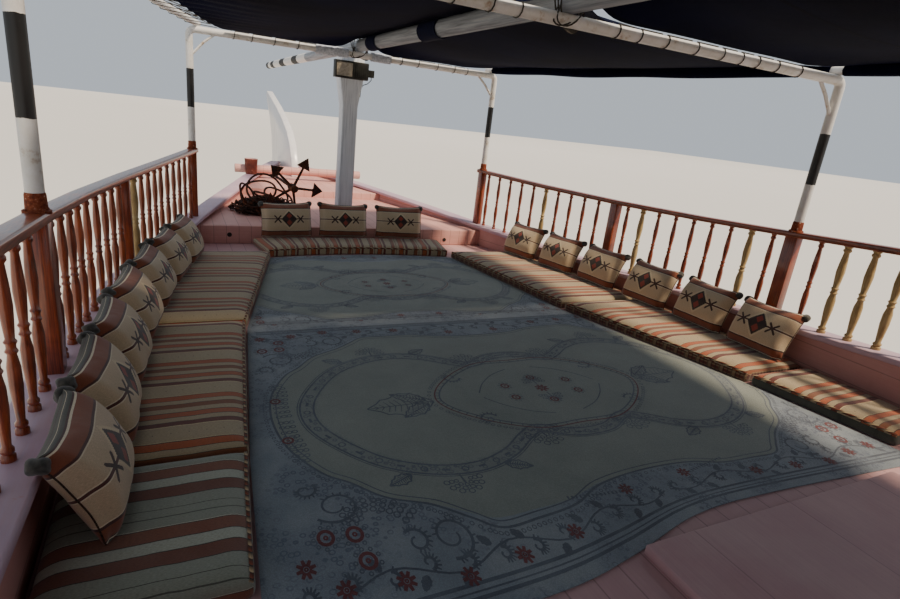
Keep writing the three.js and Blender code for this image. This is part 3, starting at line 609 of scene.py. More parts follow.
for label, side in SIDES:
    uprights = []
    spares = []
    for number, y in enumerate(NEWELS, 1):
        low = max(cap_top(y - 0.05), cap_top(y + 0.05)) - 0.003
        uprights.append(copy_to(
            newel, f"newel_{label}_{number}", (side * half_beam(y), y, low), rail_height(y) - 0.03 - low))
    y = RAIL_FORE - BALUSTER_PITCH
    while y > RAIL_AFT + 0.04:
        if all(abs(y - at) > 0.075 for at in NEWELS):
            spare = any(abs(y - at) < 0.01 for at in SPARES[label])
            low = cap_top(y) - 0.004
            made = copy_to(
                spare_baluster if spare else baluster, "baluster", (side * half_beam(y), y, low),
                rail_height(y) - 0.03 - low)
            (spares if spare else uprights).append(made)
        y -= BALUSTER_PITCH
    for name, posts, wood in (
            ("balusters", uprights, upright_mahogany), ("spare_balusters", spares, raw_pine)):
        settle(join_pieces(f"{name}_{label}", posts), wood, smooth=50)
    rail = bent_rail(
        f"top_rail_{label}", side, stations(RAIL_AFT, RAIL_FORE), 0.045,
        lambda y: rail_height(y) - RAIL_THICK, rail_height)
    settle(rail, rail_mahogany, [f"railing_{label}"])
for pattern in (baluster, spare_baluster, newel):
    bpy.data.objects.remove(pattern)

# Three hoops of galvanised water pipe carry the awning. Each stands on two flanges
# bolted to the rail, is enamelled white with a black band, and has welded braces.
HOOP_Z = DECK + 2.14
HOOPS = (3.06, -0.84, -4.74)
PIPE = 0.035
BAND_LOW = DECK + 1.405
BAND_HIGH = DECK + 1.775


def tube(name, points, radius, sides=16, closed=False):
    """A bar or cord of round section along points."""
    bpy.ops.object.select_all(action="DESELECT")
    bpy.ops.curve.primitive_bezier_curve_add()
    run = bpy.context.object
    run.name = name
    run.data.splines.clear()
    line = run.data.splines.new("POLY")
    line.points.add(len(points) - 1)
    for spot, at in zip(line.points, points):
        spot.co = (*at, 1)
    line.use_cyclic_u = closed
    run.data.bevel_depth = radius
    run.data.bevel_resolution = max(0, sides // 4 - 1)
    run.data.use_fill_caps = not closed
    bpy.ops.object.convert(target="MESH")
    return bpy.context.object


# White enamel on steel pipe: smooth, slightly yellowed, with a painted black band and
# rust bleeding through where water stands at the foot and at the welds.
pipe_enamel = start_material("white_enamelled_pipe", "#e4e5e6", 0.36)
place = add(pipe_enamel, "TexCoord", out="Object")
height = add(pipe_enamel, "SeparateXYZ", [place], out="Z")
hand = add(pipe_enamel, "TexNoise", Vector=place, Scale=30.0, Detail=3.0)
edge = add(pipe_enamel, "Math MULTIPLY_ADD", [hand, 0.012, height])
above = add(pipe_enamel, "MapRange", [edge, BAND_LOW, BAND_LOW + 0.002])
below = add(pipe_enamel, "MapRange", [edge, BAND_HIGH, BAND_HIGH + 0.002, 1.0, 0.0])
band = add(pipe_enamel, "Math MULTIPLY", [above, below])
tarnish = add(pipe_enamel, "TexNoise", Vector=place, Scale=9.0, Detail=7.0, Roughness=0.7)
enamel = add(pipe_enamel, "ValToRGB", [tarnish], stops=[
    (0.3, "#e9eaec"), (0.6, "#d9d8d2"), (0.72, "#a88f74"), (0.8, "#6d3c22")])
enamel = add(pipe_enamel, "Mix", [band, enamel, "#131416"])
connect(
    pipe_enamel, Base_Color=enamel,
    Roughness=add(pipe_enamel, "MapRange", {0: tarnish, 3: 0.28, 4: 0.6}),
    relief=(tarnish, 0.15, 0.001))

# Rusted flange plates: flaking red-brown scale over the last of the paint.
rusty_plate = mottled(
    "rusted_flange_steel", "#7a3a20", 0.85, (48.0, 8.0, 0.7),
    [(0.3, "#3a1a10"), (0.48, "#7c3519"), (0.6, "#9a5230"), (0.68, "#c9c4ba")], (0.6, 0.002), Metallic=0.15)
for number, y in enumerate(HOOPS, 1):
    half = half_beam(y)
    foot = rail_height(y)
    bend = 0.05
    corner = [(half - bend + bend * sin(a), HOOP_Z - bend + bend * cos(a)) for a in (
        radians(d) for d in (90, 72, 54, 36, 18, 0))]
    outline = [(half, foot + 0.002)] + corner
    path = [(-x, y, z) for x, z in outline] + [(x, y, z) for x, z in reversed(outline)]
    bars = [tube("hoop_bar", path, PIPE, 20)]
    for side in (-1, 1):
        bars.append(tube("brace", [
            (side * half, y, HOOP_Z - 0.26), (side * (half - 0.13), y, HOOP_Z - 0.11),
            (side * (half - 0.26), y, HOOP_Z)], 0.014, 10))
    hoop = join_pieces(f"hoop_pipe_{number}", bars)
    settle(hoop, pipe_enamel, [f"awning_hoop_{number}"])
    flanges = []
    for side in (-1, 1):
        profile = ((0, 0.052), (0.14, 0.052), (0.16, 0.041), (0.9, 0.0385), (1.0, 0.0355))
        flanges.append(turned_piece(
            "flange", profile, (side * half, y, foot - 0.006), 0.085, 1.0, 20))
        for turn in range(4):
            angle = radians(45 + 90 * turn)
            flanges.append(turned_piece(
                "bolt", ((0, 0.008), (0.7, 0.008), (1.0, 0.005)),
                (side * half + 0.0445 * cos(angle), y + 0.0445 * sin(angle), foot + 0.004), 0.009, 1.0, 6))
    settle(join_pieces(f"hoop_flanges_{number}", flanges), rusty_plate)

# A length of the same enamelled pipe runs along each side from the aft hoop to the
# fore one. It lies on their cross bars, just inside the corners.
SIDE_PIPE = 0.03
SIDE_PIPE_IN = 0.06
SIDE_PIPE_Z = HOOP_Z + 0.0604
for label, side in SIDES:
    line = [(side * (half_beam(y) - SIDE_PIPE_IN), y, SIDE_PIPE_Z) for y in stations(-4.82, 3.14)]
    bar = tube(f"side_pipe_bar_{label}", line, SIDE_PIPE, 20)
    settle(bar, pipe_enamel, [f"side_pipe_{label}"])

# A long spar lies on the hoops and the mast head as the awning's ridge and runs out
# over the bow. It is a round pole gone silver-grey, banded black and white forward.
POLE = 0.067
POLE_Z = 3.5874
spar_wood = start_material("weathered_spar", "#b4b6b8", 0.72)
place = add(spar_wood, "TexCoord", out="Object")
along = add(spar_wood, "SeparateXYZ", [place], out="Y")
checks_at = add(spar_wood, "Mapping", Vector=place, Scale=(60.0, 2.0, 60.0))
checks = add(spar_wood, "TexNoise", Vector=checks_at, Scale=1.0, Detail=7.0, Roughness=0.65)
silver = add(spar_wood, "ValToRGB", [checks], stops=[(0.3, "#5f656d"), (0.5, "#8d949d"), (0.7, "#a9b1bb")])
band_run = add(spar_wood, "MapRange", [along, 5.9, 10.0, 0.0, 1.0])
banded = add(spar_wood, "ValToRGB", [band_run], stops=[
    (0.0, "#dcdcda"), (0.16, "#17181a"), (0.27, "#dcdcda"), (0.46, "#17181a"), (0.58, "#dcdcda"),
    (0.76, "#17181a"), (0.85, "#dcdcda"), (0.93, "#17181a")])
banded.node.color_ramp.interpolation = "CONSTANT"
painted_end = add(spar_wood, "MapRange", [along, 5.88, 5.9])
spar_colour = add(spar_wood, "Mix", [painted_end, silver, banded])
worn = add(spar_wood, "MapRange", [checks, 0.62, 0.72, 0.0, 0.6])
spar_colour = add(spar_wood, "Mix", [worn, spar_colour, "#8b8984"])
connect(spar_wood, Base_Color=spar_colour, relief=(checks, 0.4, 0.0015))
spar = tube("ridge_spar", [(0, y, POLE_Z) for y in (-4.9, -2, 1, 4, 7, 9.6, 9.97, 10.0)], POLE, 20)
settle(spar, spar_wood, ["ridge_pole"])

# The spar is lashed to each hoop with crossed turns of tarred line, dark and dry, which
# serves for all the lacing too. At the fore hoop strips of pale sailcloth are wound
# round the bar on either side of the spar.
lacing_line = mottled(
    "tarred_lacing_line", "#2a2622", 0.9, (160.0, 3.0, 0.5),
    [(0.35, "#1b1917"), (0.7, "#4a443b")], (0.5, 0.001))
bound_cloth = mottled(
    "pale_binding_cloth", "#cdd3dc", 0.9, (55.0, 6.0, 0.6), [(0.3, "#9aa3b2"), (0.6, "#ccd3de")],
    (0.7, 0.004), Sheen_Weight=0.15)
for number, y in enumerate(HOOPS, 1):
    turns = []
    for layer in range(5):
        lead = 1 if layer % 2 else -1
        for step in range(20):
            angle = 2 * pi * step / 20
            skew = lead * cos(angle) * (0.052 + 0.012 * layer)
            rise = 0.122 if cos(angle) > 0 else 0.088
            turns.append([
                0.075 * sin(angle) + skew, y + skew * 0.7 + 0.012 * (layer - 2),
                HOOP_Z + 0.048 + rise * cos(angle)])
    settle(tube(f"spar_lashing_{number}", turns, 0.0045, 6), lacing_line)


def cloth_sleeve(name, middle, turn, radius, long, sides, cuts):
    """Cloth wound round a bar: an open cylinder, cut finely along it."""
    piece = begin(
        "cylinder", name, vertices=sides, radius=radius, depth=long, end_fill_type="NOTHING",
        location=middle, rotation=turn)
    edit_all()
    bpy.ops.mesh.subdivide(number_cuts=cuts, smoothness=0)
    bpy.ops.object.mode_set(mode="OBJECT")
    apply_place()
    return piece


for label, low, high in (("port", -0.5, -0.14), ("starboard", 0.13, 0.36)):
    wrap = cloth_sleeve(
        f"bar_wrapping_{label}", ((low + high) / 2, HOOPS[0], HOOP_Z), (0, pi / 2, 0),
        0.043, high - low, 28, 40)
    for vertex in wrap.data.vertices:
        out = Vector((0, vertex.co.y - HOOPS[0], vertex.co.z - HOOP_Z)).normalized()
        twist = atan2(out.z, out.y)
        strip = fmod(vertex.co.x / 0.06 + twist / (2 * pi) + 40, 1.0)
        vertex.co += out * (0.006 * strip + 0.006 * noise.noise(vertex.co * 22))
    worked(wrap, "SOLIDIFY", thickness=0.003, offset=1)
    settle(wrap, bound_cloth, smooth=60)

# Two broad straps of navy cloth are pulled tight round the spar in the fore bay, where
# the canvas above would chafe on it.
navy_webbing = mottled(
    "navy_strap_cloth", "#0b1128", 0.9, (1.0, 3.0, 0.5), [(0.3, "#070b1e"), (0.7, "#101839")],
    (0.4, 0.001), stretch=(40.0, 260.0, 40.0), Specular_IOR_Level=0.1)
# where each strap is, its width
STRAPS = ((2.5, 0.3), (1.0, 0.36))
for number, (y, width) in enumerate(STRAPS, 1):
    strap = cloth_sleeve(
        f"spar_strap_{number}", (0, y, POLE_Z), (pi / 2, 0, 0), POLE + 0.006, width, 24, 5)
    for vertex in strap.data.vertices:
        out = Vector((vertex.co.x, 0, vertex.co.z - POLE_Z)).normalized()
        vertex.co += out * 0.004 * noise.noise(vertex.co * 14)
    worked(strap, "SOLIDIFY", thickness=0.004, offset=1)
    settle(strap, navy_webbing)

# The awning is dark navy acrylic canvas in one panel for each bay. It lies over the
# spar, has a sleeve round the starboard pipe, and is drawn out to port by lacing.
CANVAS_RIDGE = 3.662
CANVAS_PORT = 3.512
CANVAS_BAR = HOOP_Z + 0.041
CANVAS_LACING = 0.24
canvas = start_material("navy_acrylic_canvas", "#070b22", 0.95, Specular_IOR_Level=0.05)
place = add(canvas, "TexCoord", out="Object")
weft_at = add(canvas, "Mapping", Vector=place, Scale=(500.0, 40.0, 40.0))
weft = add(canvas, "TexNoise", Vector=weft_at, Scale=1.0, Detail=2.0)
faded = add(canvas, "TexNoise", Vector=place, Scale=1.3, Detail=5.0)
creases = add(canvas, "TexNoise", Vector=place, Scale=4.5, Detail=6.0, Distortion=0.8)
seam_run = add(canvas, "SeparateXYZ", [place], out="Y")
seam_run = add(canvas, "Math WRAP", [seam_run, 1.25])
seam_off = away_from(canvas, seam_run, 0.6)
lapped = add(canvas, "MapRange", [seam_off, 0.012, 0.014, 1.0, 0.0])
shade = add(canvas, "ValToRGB", [faded], stops=[(0.3, "#04071c"), (0.7, "#0a102e")])
shade = add(canvas, "Mix", [lapped, shade, "#060a1e"])
relief = add(canvas, "Math MULTIPLY_ADD", [creases, 2.0, weft])
relief = add(canvas, "Math MULTIPLY_ADD", [lapped, 0.5, relief])
connect(canvas, Base_Color=shade, relief=(relief, 0.35, 0.004))


def hold_up(across, along, y):
    """Where the canvas lies: across from -1 at port to 1 at starboard, along from 0 to 1."""
    half = half_beam(y)
    bay = sin(pi * along)
    pulled = max(0.0, 1 - min(along, 1 - along) / 0.11) ** 2
    pipe_x = half - SIDE_PIPE_IN
    sleeve = SIDE_PIPE + 0.007
    over = 0.9
    hollow = 0.45 + 0.55 * bay
    if across <= 0:
        share = -across
        lacing = 0.5 - 0.5 * cos(2 * pi * y / CANVAS_LACING)
        reach = half - 0.33 - 0.022 * lacing * share ** 8
        z = CANVAS_RIDGE + (CANVAS_PORT - CANVAS_RIDGE) * share - 0.075 * sin(pi * share) * hollow
        z -= 0.03 * bay * share ** 6 * lacing
        x = -reach * share
    elif across <= over:
        share = across / over
        z = CANVAS_RIDGE + (SIDE_PIPE_Z + sleeve - CANVAS_RIDGE) * share
        z -= 0.1 * sin(pi * share) * hollow
        x = pipe_x * share
    else:
        turn = (across - over) / (1 - over) * 5.6
        slack = 0.012 * bay * (0.5 - 0.5 * cos(turn)) * (1 + 0.4 * sin(5 * y))
        return Vector((
            pipe_x + sleeve * sin(turn), y, SIDE_PIPE_Z + sleeve * cos(turn) - slack))
    past_strap = min(abs(y - strap_y) - width / 2 for strap_y, width in STRAPS)
    z += 0.016 * max(0.0, 1 - max(0.0, past_strap - 0.02) / 0.2) * exp(-(x / 0.12) ** 2)
    hump = (CANVAS_RIDGE - CANVAS_BAR) * exp(-(x / 0.17) ** 2)
    hang = max(0.0, abs(x) - half + 0.5) / 0.5
    at_bar = CANVAS_BAR + hump + (z - CANVAS_BAR - hump) * min(1.0, hang)
    return Vector((x, y, z + (at_bar - z) * pulled))


for number, (aft, fore) in enumerate(((-0.795, 3.015), (-4.695, -0.885)), 1):
    panel = begin("grid", f"awning_canvas_{number}", x_subdivisions=120, y_subdivisions=90, size=2)
    for vertex in panel.data.vertices:
        across, along = vertex.co.x, (vertex.co.y + 1) / 2
        vertex.co = hold_up(across, along, aft + (fore - aft) * along)
        vertex.co.z += 0.008 * noise.noise(Vector((vertex.co.x * 1.4, vertex.co.y * 1.4, number)))
    worked(panel, "SOLIDIFY", thickness=0.002, offset=0)
    settle(panel, canvas, [f"awning_panel_{number}"], smooth=60)
    wide = 2 * half_beam(0.5 * (aft + fore)) - 0.2

    # The port edge is drawn out to the pipe by a zigzag of the same tarred line.
    zigzag = []
    steps = int((fore - aft - 0.1) / CANVAS_LACING)
    for step in range(steps):
        y = ceil(aft / CANVAS_LACING) * CANVAS_LACING + 0.06 + step * CANVAS_LACING
        x = -(half_beam(y) - SIDE_PIPE_IN)
        zigzag += [
            (x + 0.028, y, SIDE_PIPE_Z + 0.024), (x, y + 0.01, SIDE_PIPE_Z + 0.036),
            (x - 0.033, y + 0.02, SIDE_PIPE_Z), (x, y + 0.03, SIDE_PIPE_Z - 0.036),
            (-(half_beam(y) - 0.34), y + CANVAS_LACING / 2, CANVAS_PORT + 0.002)]
    settle(tube(f"edge_lacing_{number}", zigzag, 0.0035, 6), lacing_line)


# The same line hitches the canvas ends to the hoops' cross bars.
def hitched(name, start, end, radius, pitch, around):
    """Line hitched along a pipe: a turn every pitch, and a straight run to the next."""
    start, end = Vector(start), Vector(end)
    run = (end - start).normalized()
    up = Vector((0, 0, 1))
    out = run.cross(up)
    line = []
    for number in range(int((end - start).length / pitch)):
        hitch = start + run * pitch * (number + 0.5 + 0.2 * sin(number * 5.1))
        for step in range(11):
            angle = around + 2 * pi * step / 10
            line.append(hitch + run * 0.004 * step + (out * cos(angle) + up * sin(angle)) * radius)
    return tube(name, line, 0.0038, 6)


for number, y in enumerate(HOOPS, 1):
    half = half_beam(y) - 0.3
    turns = [
        hitched("turns", (side * 0.2, y, HOOP_Z), (side * half, y, HOOP_Z), 0.039, 0.2, pi / 2)
        for side in (-1, 1)]
    settle(join_pieces(f"hoop_lacing_{number}", turns), lacing_line)


# The seats are foam mattresses in flat-woven wool covers, laid end to end on the
# deck along each side and across the front. Their stripes run across the seat.
def stuffed_block(name, place, size, cells):
    """A closed grid round a block: place(a, b, c) puts each point, with a along, b across
    and c up from 0 to 1. Its UV map is in metres, and runs on past the top's edges."""
    length, width, thick = size
    along, across, rise = cells
    shell = bmesh.new()
    flat = shell.loops.layers.uv.new("cloth")
    points = {}

    def at(i, j, k):
        if (i, j, k) not in points:
            points[i, j, k] = shell.verts.new(place(i / along, j / across, k / rise))
        return points[i, j, k]

    def patch(corners, spots):
        face = shell.faces.new([at(*corner) for corner in corners])
        for loop, (u, v) in zip(face.loops, spots):
            loop[flat].uv = (u, v)

    for i in range(along):
        for j in range(across):
            steps = [(i, j), (i + 1, j), (i + 1, j + 1), (i, j + 1)]
            spots = [(a / along * length, b / across * width) for a, b in steps]
            patch([(a, b, rise) for a, b in steps], spots)
            patch([(a, b, 0) for a, b in reversed(steps)], spots[::-1])
    for k in range(rise):
        for i in range(along):
            steps = [(i, k), (i + 1, k), (i + 1, k + 1), (i, k + 1)]
            drop = [(a / along * length, (1 - c / rise) * thick) for a, c in steps]
            patch([(a, 0, c) for a, c in steps], [(u, -v) for u, v in drop])
            patch([(a, across, c) for a, c in reversed(steps)], [(u, width + v) for u, v in reversed(drop)])
        for j in range(across):
            steps = [(j, k), (j + 1, k), (j + 1, k + 1), (j, k + 1)]
            drop = [(b / across * width, (1 - c / rise) * thick) for b, c in steps]
            patch([(0, b, c) for b, c in reversed(steps)], [(-v, u) for u, v in reversed(drop)])
            patch([(along, b, c) for b, c in steps], [(length + v, u) for u, v in drop])
    shell.normal_update()
    bmesh.ops.recalc_face_normals(shell, faces=shell.faces)
    shell.verts.index_update()
    order = {spot: vertex.index for spot, vertex in points.items()}
    mesh = bpy.data.meshes.new(name)
    shell.to_mesh(mesh)
    shell.free()
    return new_piece(name, mesh), order


def blow_up(piece, pressure, most, frames=20):
    """Cloth simulation of the cover: air pressure from inside, no point moving more than most."""
    before = [vertex.co.copy() for vertex in piece.data.vertices]
    select_only(piece)
    cover = piece.modifiers.new("cover", "CLOTH")
    cover.settings.quality = 6
    cover.settings.mass = 0.25
    cover.settings.use_pressure = True
    cover.settings.uniform_pressure_force = pressure
    cover.settings.effector_weights.gravity = 0
    cover.collision_settings.use_collision = False
    for step in range(1, frames + 1):
        bpy.context.scene.frame_set(step)
    bpy.ops.object.modifier_apply(modifier=cover.name)
    bpy.context.scene.frame_set(1)
    for vertex, start in zip(piece.data.vertices, before):
        move = vertex.co - start
        if move.length > most:
            vertex.co = start + move * (most / move.length)


def keep_off(piece, low):
    """Nothing of the piece sinks under what it lies on."""
    for vertex in piece.data.vertices:
        vertex.co.z = max(vertex.co.z, low)


def woven_finish(weave, cloth, dust, patches, yarns, painted_hollow_shade, relief):
    """Dust in the hollows, single yarns that differ in tone, painted shade where the ribs sink, and a ribbed
    surface.
    """
    spot = add(weave, "UVMap", uv_map="cloth")
    scale, start = patches
    worn = add(weave, "TexNoise", Vector=spot, Scale=scale, Detail=6.0, Roughness=0.65)
    dusty = add(weave, "MapRange", [worn, start, 0.75, 0.0, 0.16])
    cloth = add(weave, "Mix", [dusty, cloth, dust])
    yarn_at = add(weave, "Mapping", Vector=spot, Scale=yarns)
    yarn = add(weave, "TexNoise", Vector=yarn_at, Scale=1.0, Detail=2.0)
    # Each yarn's darkening is partly its own tone and partly painted shade in the hollows between the ribs.
    depth = add(weave, "MapRange", [yarn, 0.3, 0.7, painted_hollow_shade, 1.12])
    cloth = add(weave, "Mix", [1.0, cloth, depth], blend_type="MULTIPLY")
    connect(weave, (yarn, *relief), Base_Color=cloth)


# Flat-woven wool: weft-faced stripes with a ribbed feel, slightly faded and uneven,
# with small dark-red lozenges woven into the wide stripes.
def striped_weave(name, stripes, period, lozenge=None):
    weave = start_material(name, "#8d7a63", 0.92, Sheen_Weight=0.25, Sheen_Roughness=0.6)
    spot = add(weave, "UVMap", uv_map="cloth")
    split = add(weave, "SeparateXYZ", [spot], out="X")
    over = add(weave, "SeparateXYZ", [spot], out="Y")
    wander_at = add(weave, "Mapping", Vector=spot, Scale=(3.0, 5.0, 1.0))
    wander = add(weave, "TexNoise", Vector=wander_at, Scale=1.0, Detail=2.0)
    run = add(weave, "Math MULTIPLY_ADD", [wander, 0.018, split])
    run = add(weave, "Math MULTIPLY", [run, 1 / period])
    part = add(weave, "Math FRACT", [run])
    colour = add(weave, "ValToRGB", [part], stops=stripes)
    colour.node.color_ramp.interpolation = "CONSTANT"
    if lozenge:
        centre, long_half, wide_half, gap, red, dark = lozenge
        du = add(weave, "Math MULTIPLY", [away_from(weave, part, centre), period / long_half])
        number = add(weave, "Math FLOOR", [run])
        shift = add(weave, "Math MULTIPLY_ADD", [number, 0.37, over])
        dv = add(weave, "Math WRAP", [shift, gap])
        dv = add(weave, "Math MULTIPLY", [away_from(weave, dv, gap / 2), 1 / wide_half])
        away = add(weave, "Math ADD", [du, dv])
        outer = add(weave, "Math LESS_THAN", [away, 1.0])
        inner = add(weave, "Math LESS_THAN", [away, 0.55])
        thread = add(weave, "Math LESS_THAN", [du, 0.09])
        near = add(weave, "Math LESS_THAN", [dv, 2.6])
        thread = add(weave, "Math MULTIPLY", [thread, near])
        outer = add(weave, "Math MAXIMUM", [outer, thread])
        colour = add(weave, "Mix", [outer, colour, dark])
        colour = add(weave, "Mix", [inner, colour, red])
    woven_finish(weave, colour, "#8f857a", (4.0, 0.35), (420.0, 90.0, 1.0), 0.72, (0.45, 0.002))
    return weave


RUST, BROWN, OXBLOOD, STONE, CREAM, SOOT = "#ab5220", "#80451f", "#64200f", "#ad9b7a", "#dbc899", "#261b14"
seat_weave = striped_weave("striped_seat_weave", [
    (0.0, STONE), (0.05, SOOT), (0.06, RUST), (0.16, SOOT), (0.17, STONE), (0.26, SOOT), (0.268, OXBLOOD),
    (0.35, CREAM), (0.36, STONE), (0.65, CREAM), (0.66, SOOT), (0.668, RUST), (0.77, SOOT), (0.78, STONE),
    (0.86, SOOT), (0.868, BROWN), (0.96, STONE)], 0.42, (0.505, 0.042, 0.082, 0.42, "#7d241c", "#241512"))
GREEN = "#8b9182"
aft_seat_weave = striped_weave("green_grey_seat_weave", [
    (0.0, GREEN), (0.12, "#4b4f45"), (0.135, GREEN), (0.27, "#d0c9b4"), (0.28, SOOT), (0.29, "#7a4024"),
    (0.46, SOOT), (0.47, "#a9ad9c"), (0.62, SOOT), (0.63, "#6b3620"), (0.8, SOOT), (0.81, GREEN),
    (0.99, SOOT)], 0.36)
front_weave = striped_weave("striped_front_weave", [
    (0.0, STONE), (0.08, SOOT), (0.1, RUST), (0.27, SOOT), (0.29, STONE), (0.36, OXBLOOD), (0.45, SOOT),
    (0.46, STONE), (0.72, SOOT), (0.74, "#8a4a26"), (0.88, STONE), (0.94, SOOT), (0.96, STONE)],
    0.27, (0.59, 0.028, 0.06, 0.5, "#7d2620", "#271713"))

# Plaid side panels: dark-red checks crossed by thin beige lines.
plaid_weave = start_material("plaid_side_weave", "#5a2a22", 0.92, Sheen_Weight=0.25)
spot = add(plaid_weave, "UVMap", uv_map="cloth")
plaid = linear("#5a2a22")
for axis, width, colour in (("X", 0.09, "#8f7a5c"), ("Y", 0.045, "#8f7a5c"), ("X", 0.03, "#2d1a17")):
    run = add(plaid_weave, "SeparateXYZ", [spot], out=axis)
    run = add(plaid_weave, "Math MULTIPLY", [run, 1 / width])
    run = add(plaid_weave, "Math FRACT", [run])
    stripe = add(plaid_weave, "MapRange", [run, 0.34, 0.36, 0.55, 0.0])
    plaid = add(plaid_weave, "Mix", [stripe, plaid, colour])
fuzz = add(plaid_weave, "TexNoise", Vector=spot, Scale=180.0, Detail=3.0)
connect(plaid_weave, Base_Color=plaid, relief=(fuzz, 0.4, 0.002))
grey_side_weave = striped_weave("grey_green_side_weave", [(0.0, "#3c3f36"), (0.9, "#33352f")], 0.2)

# Twisted cord along the seats' inner edge: rust and beige strands laid round each other,
# sewn on in the seam. Each strand runs into near-black towards the groove before the next, as painted shade.
twisted_cord = start_material("twisted_edge_cord", "#9a6a45", 0.9, Sheen_Weight=0.2)
place = add(twisted_cord, "TexCoord", out="Object")
lay = add(twisted_cord, "VectorMath DOT_PRODUCT", [place, (14.0, 15.0, 26.0)], out="Value")
lay = add(twisted_cord, "Math FRACT", [lay])
# Painted shade: each strand darkens from its own colour to near-black where it turns into the groove.
strands_with_painted_shade = add(twisted_cord, "ValToRGB", [lay], stops=[
    (0.0, "#8a3f22"), (0.42, "#2c1c16"), (0.5, "#c4ac84"), (0.92, "#2c1c16")])
connect(twisted_cord, Base_Color=strands_with_painted_shade, relief=(lay, 0.5, 0.004))

SEAT_THICK = 0.105
SEAT_BACK_IN = 0.057
# side, number, fore y, aft y, inner x at each, covers of the top and the side
SEATS = (
    (-1, 1, 2.28, 0.34, 1.06, 1.5, seat_weave, seat_weave),
    (-1, 2, 0.33, -1.29, 1.51, 1.665, seat_weave, seat_weave),
    (-1, 3, -1.3, -2.08, 1.67, 1.73, aft_seat_weave, aft_seat_weave),
    (1, 1, 2.28, 0.4, 1.01, 1.29, seat_weave, plaid_weave),
    (1, 2, 0.39, -1.25, 1.3, 1.74, seat_weave, plaid_weave),
    (1, 3, -1.26, -2.15, 1.745, 1.91, seat_weave, grey_side_weave),
)


def seat_height(a, b, number):
    """How thick a seat is: crowned, rounded down at its edges and a little lumpy."""
    edge = min(1.0, min(a, 1 - a) * 14, min(b, 1 - b) * 9)
    round_off = 1 - 0.24 * (1 - edge) ** 2
    lumps = 0.05 * noise.noise(Vector((a * 5, b * 3, number * 3.7)))
    return SEAT_THICK * (0.93 * round_off + lumps * edge)


def finish_seat(piece, order, top_cover, side_cover, node, inner_edge):
    blow_up(piece, 1.2, 0.006)
    worked(piece, "SUBSURF", levels=1, render_levels=1)
    keep_off(piece, DECK + 0.0005)
    edge_line = [piece.data.vertices[order[spot]].co.copy() for spot in inner_edge]
    piece.data.materials.append(top_cover)
    piece.data.materials.append(side_cover)
    for face in piece.data.polygons:
        if face.normal.z < 0.45:
            face.material_index = 1
    settle(piece, None, [node], smooth=80)
    lift = Vector((0, 0, 0.002))
    cord = tube(f"{piece.name}_edge_cord", [at + lift for at in edge_line], 0.0085, 10)
    settle(cord, twisted_cord, smooth=60)


for side, number, fore, aft, inner_fore, inner_aft, top_cover, side_cover in SEATS:
    label = "port" if side < 0 else "starboard"
    long = fore - aft
    deep = half_beam((fore + aft) / 2) - SEAT_BACK_IN - (inner_fore + inner_aft) / 2

    def put(a, b, c):
        y = fore + (aft - fore) * (0.004 + 0.992 * a)
        inner = inner_fore + (inner_aft - inner_fore) * a + 0.001
        outer = half_beam(y) - SEAT_BACK_IN - 0.014
        belly = 0.008 * sin(pi * c) * (1 if b > 0.5 else -1) * (b in (0, 1))
        x = side * (inner + (outer - inner) * b + belly)
        return Vector((x, y, DECK + 0.001 + c * seat_height(a, b, number + side * 5)))

    cells = (max(8, round(long / 0.038)), max(8, round(deep / 0.045)), 3)
    seat, order = stuffed_block(f"seat_{label}_{number}", put, (long, deep, SEAT_THICK), cells)
    inner_edge = [(i, 0, cells[2]) for i in range(cells[0] + 1)]
    node = f"mattress_{label}_{number}"
    finish_seat(seat, order, top_cover, side_cover, node, inner_edge)

FRONT_EDGE = [(-1.08, 2.3), (-0.62, 2.38), (-0.1, 2.42), (0.42, 2.38), (1.0, 2.3)]


def put_front(a, b, c):
    spot = min(a * 4, 3.9999)
    low, high = FRONT_EDGE[int(spot)], FRONT_EDGE[int(spot) + 1]
    part = spot - int(spot)
    inner = Vector((low[0] + part * (high[0] - low[0]), low[1] + part * (high[1] - low[1]) + 0.008))
    outer = Vector((-1.17 + a * 2.28, 2.88))
    spread = inner + (outer - inner) * b
    return Vector((spread.x * 0.996, spread.y, DECK + 0.001 + c * seat_height(a, b, 9)))


front_cells = (56, 12, 3)
front_seat, order = stuffed_block("seat_front", put_front, (2.2, 0.53, SEAT_THICK), front_cells)
front_edge = [(i, 0, front_cells[2]) for i in range(front_cells[0] + 1)]
finish_seat(front_seat, order, front_weave, front_weave, "mattress_front", front_edge)

# Back cushions lean on the bulwarks in a row. Each is a firm pillow in flat-woven cloth
# that goes on round its ends to a seam, with its top corners gathered and bound in grey.
wool = start_material("banded_cushion_weave", "#cdb694", 0.9, Sheen_Weight=0.3, Sheen_Roughness=0.6)
spot = add(wool, "UVMap", uv_map="cloth")
across = add(wool, "SeparateXYZ", [spot], out="X")
upward = add(wool, "SeparateXYZ", [spot], out="Y")
BAND_REACH = 0.3
band_run = add(wool, "MapRange", [upward, -BAND_REACH, BAND_REACH, 0.0, 1.0])
FIELD, BRICK, IVORY, WINE, RIM = "#cdb694", "#84401d", "#e6d8b8", "#43110c", "#474a40"
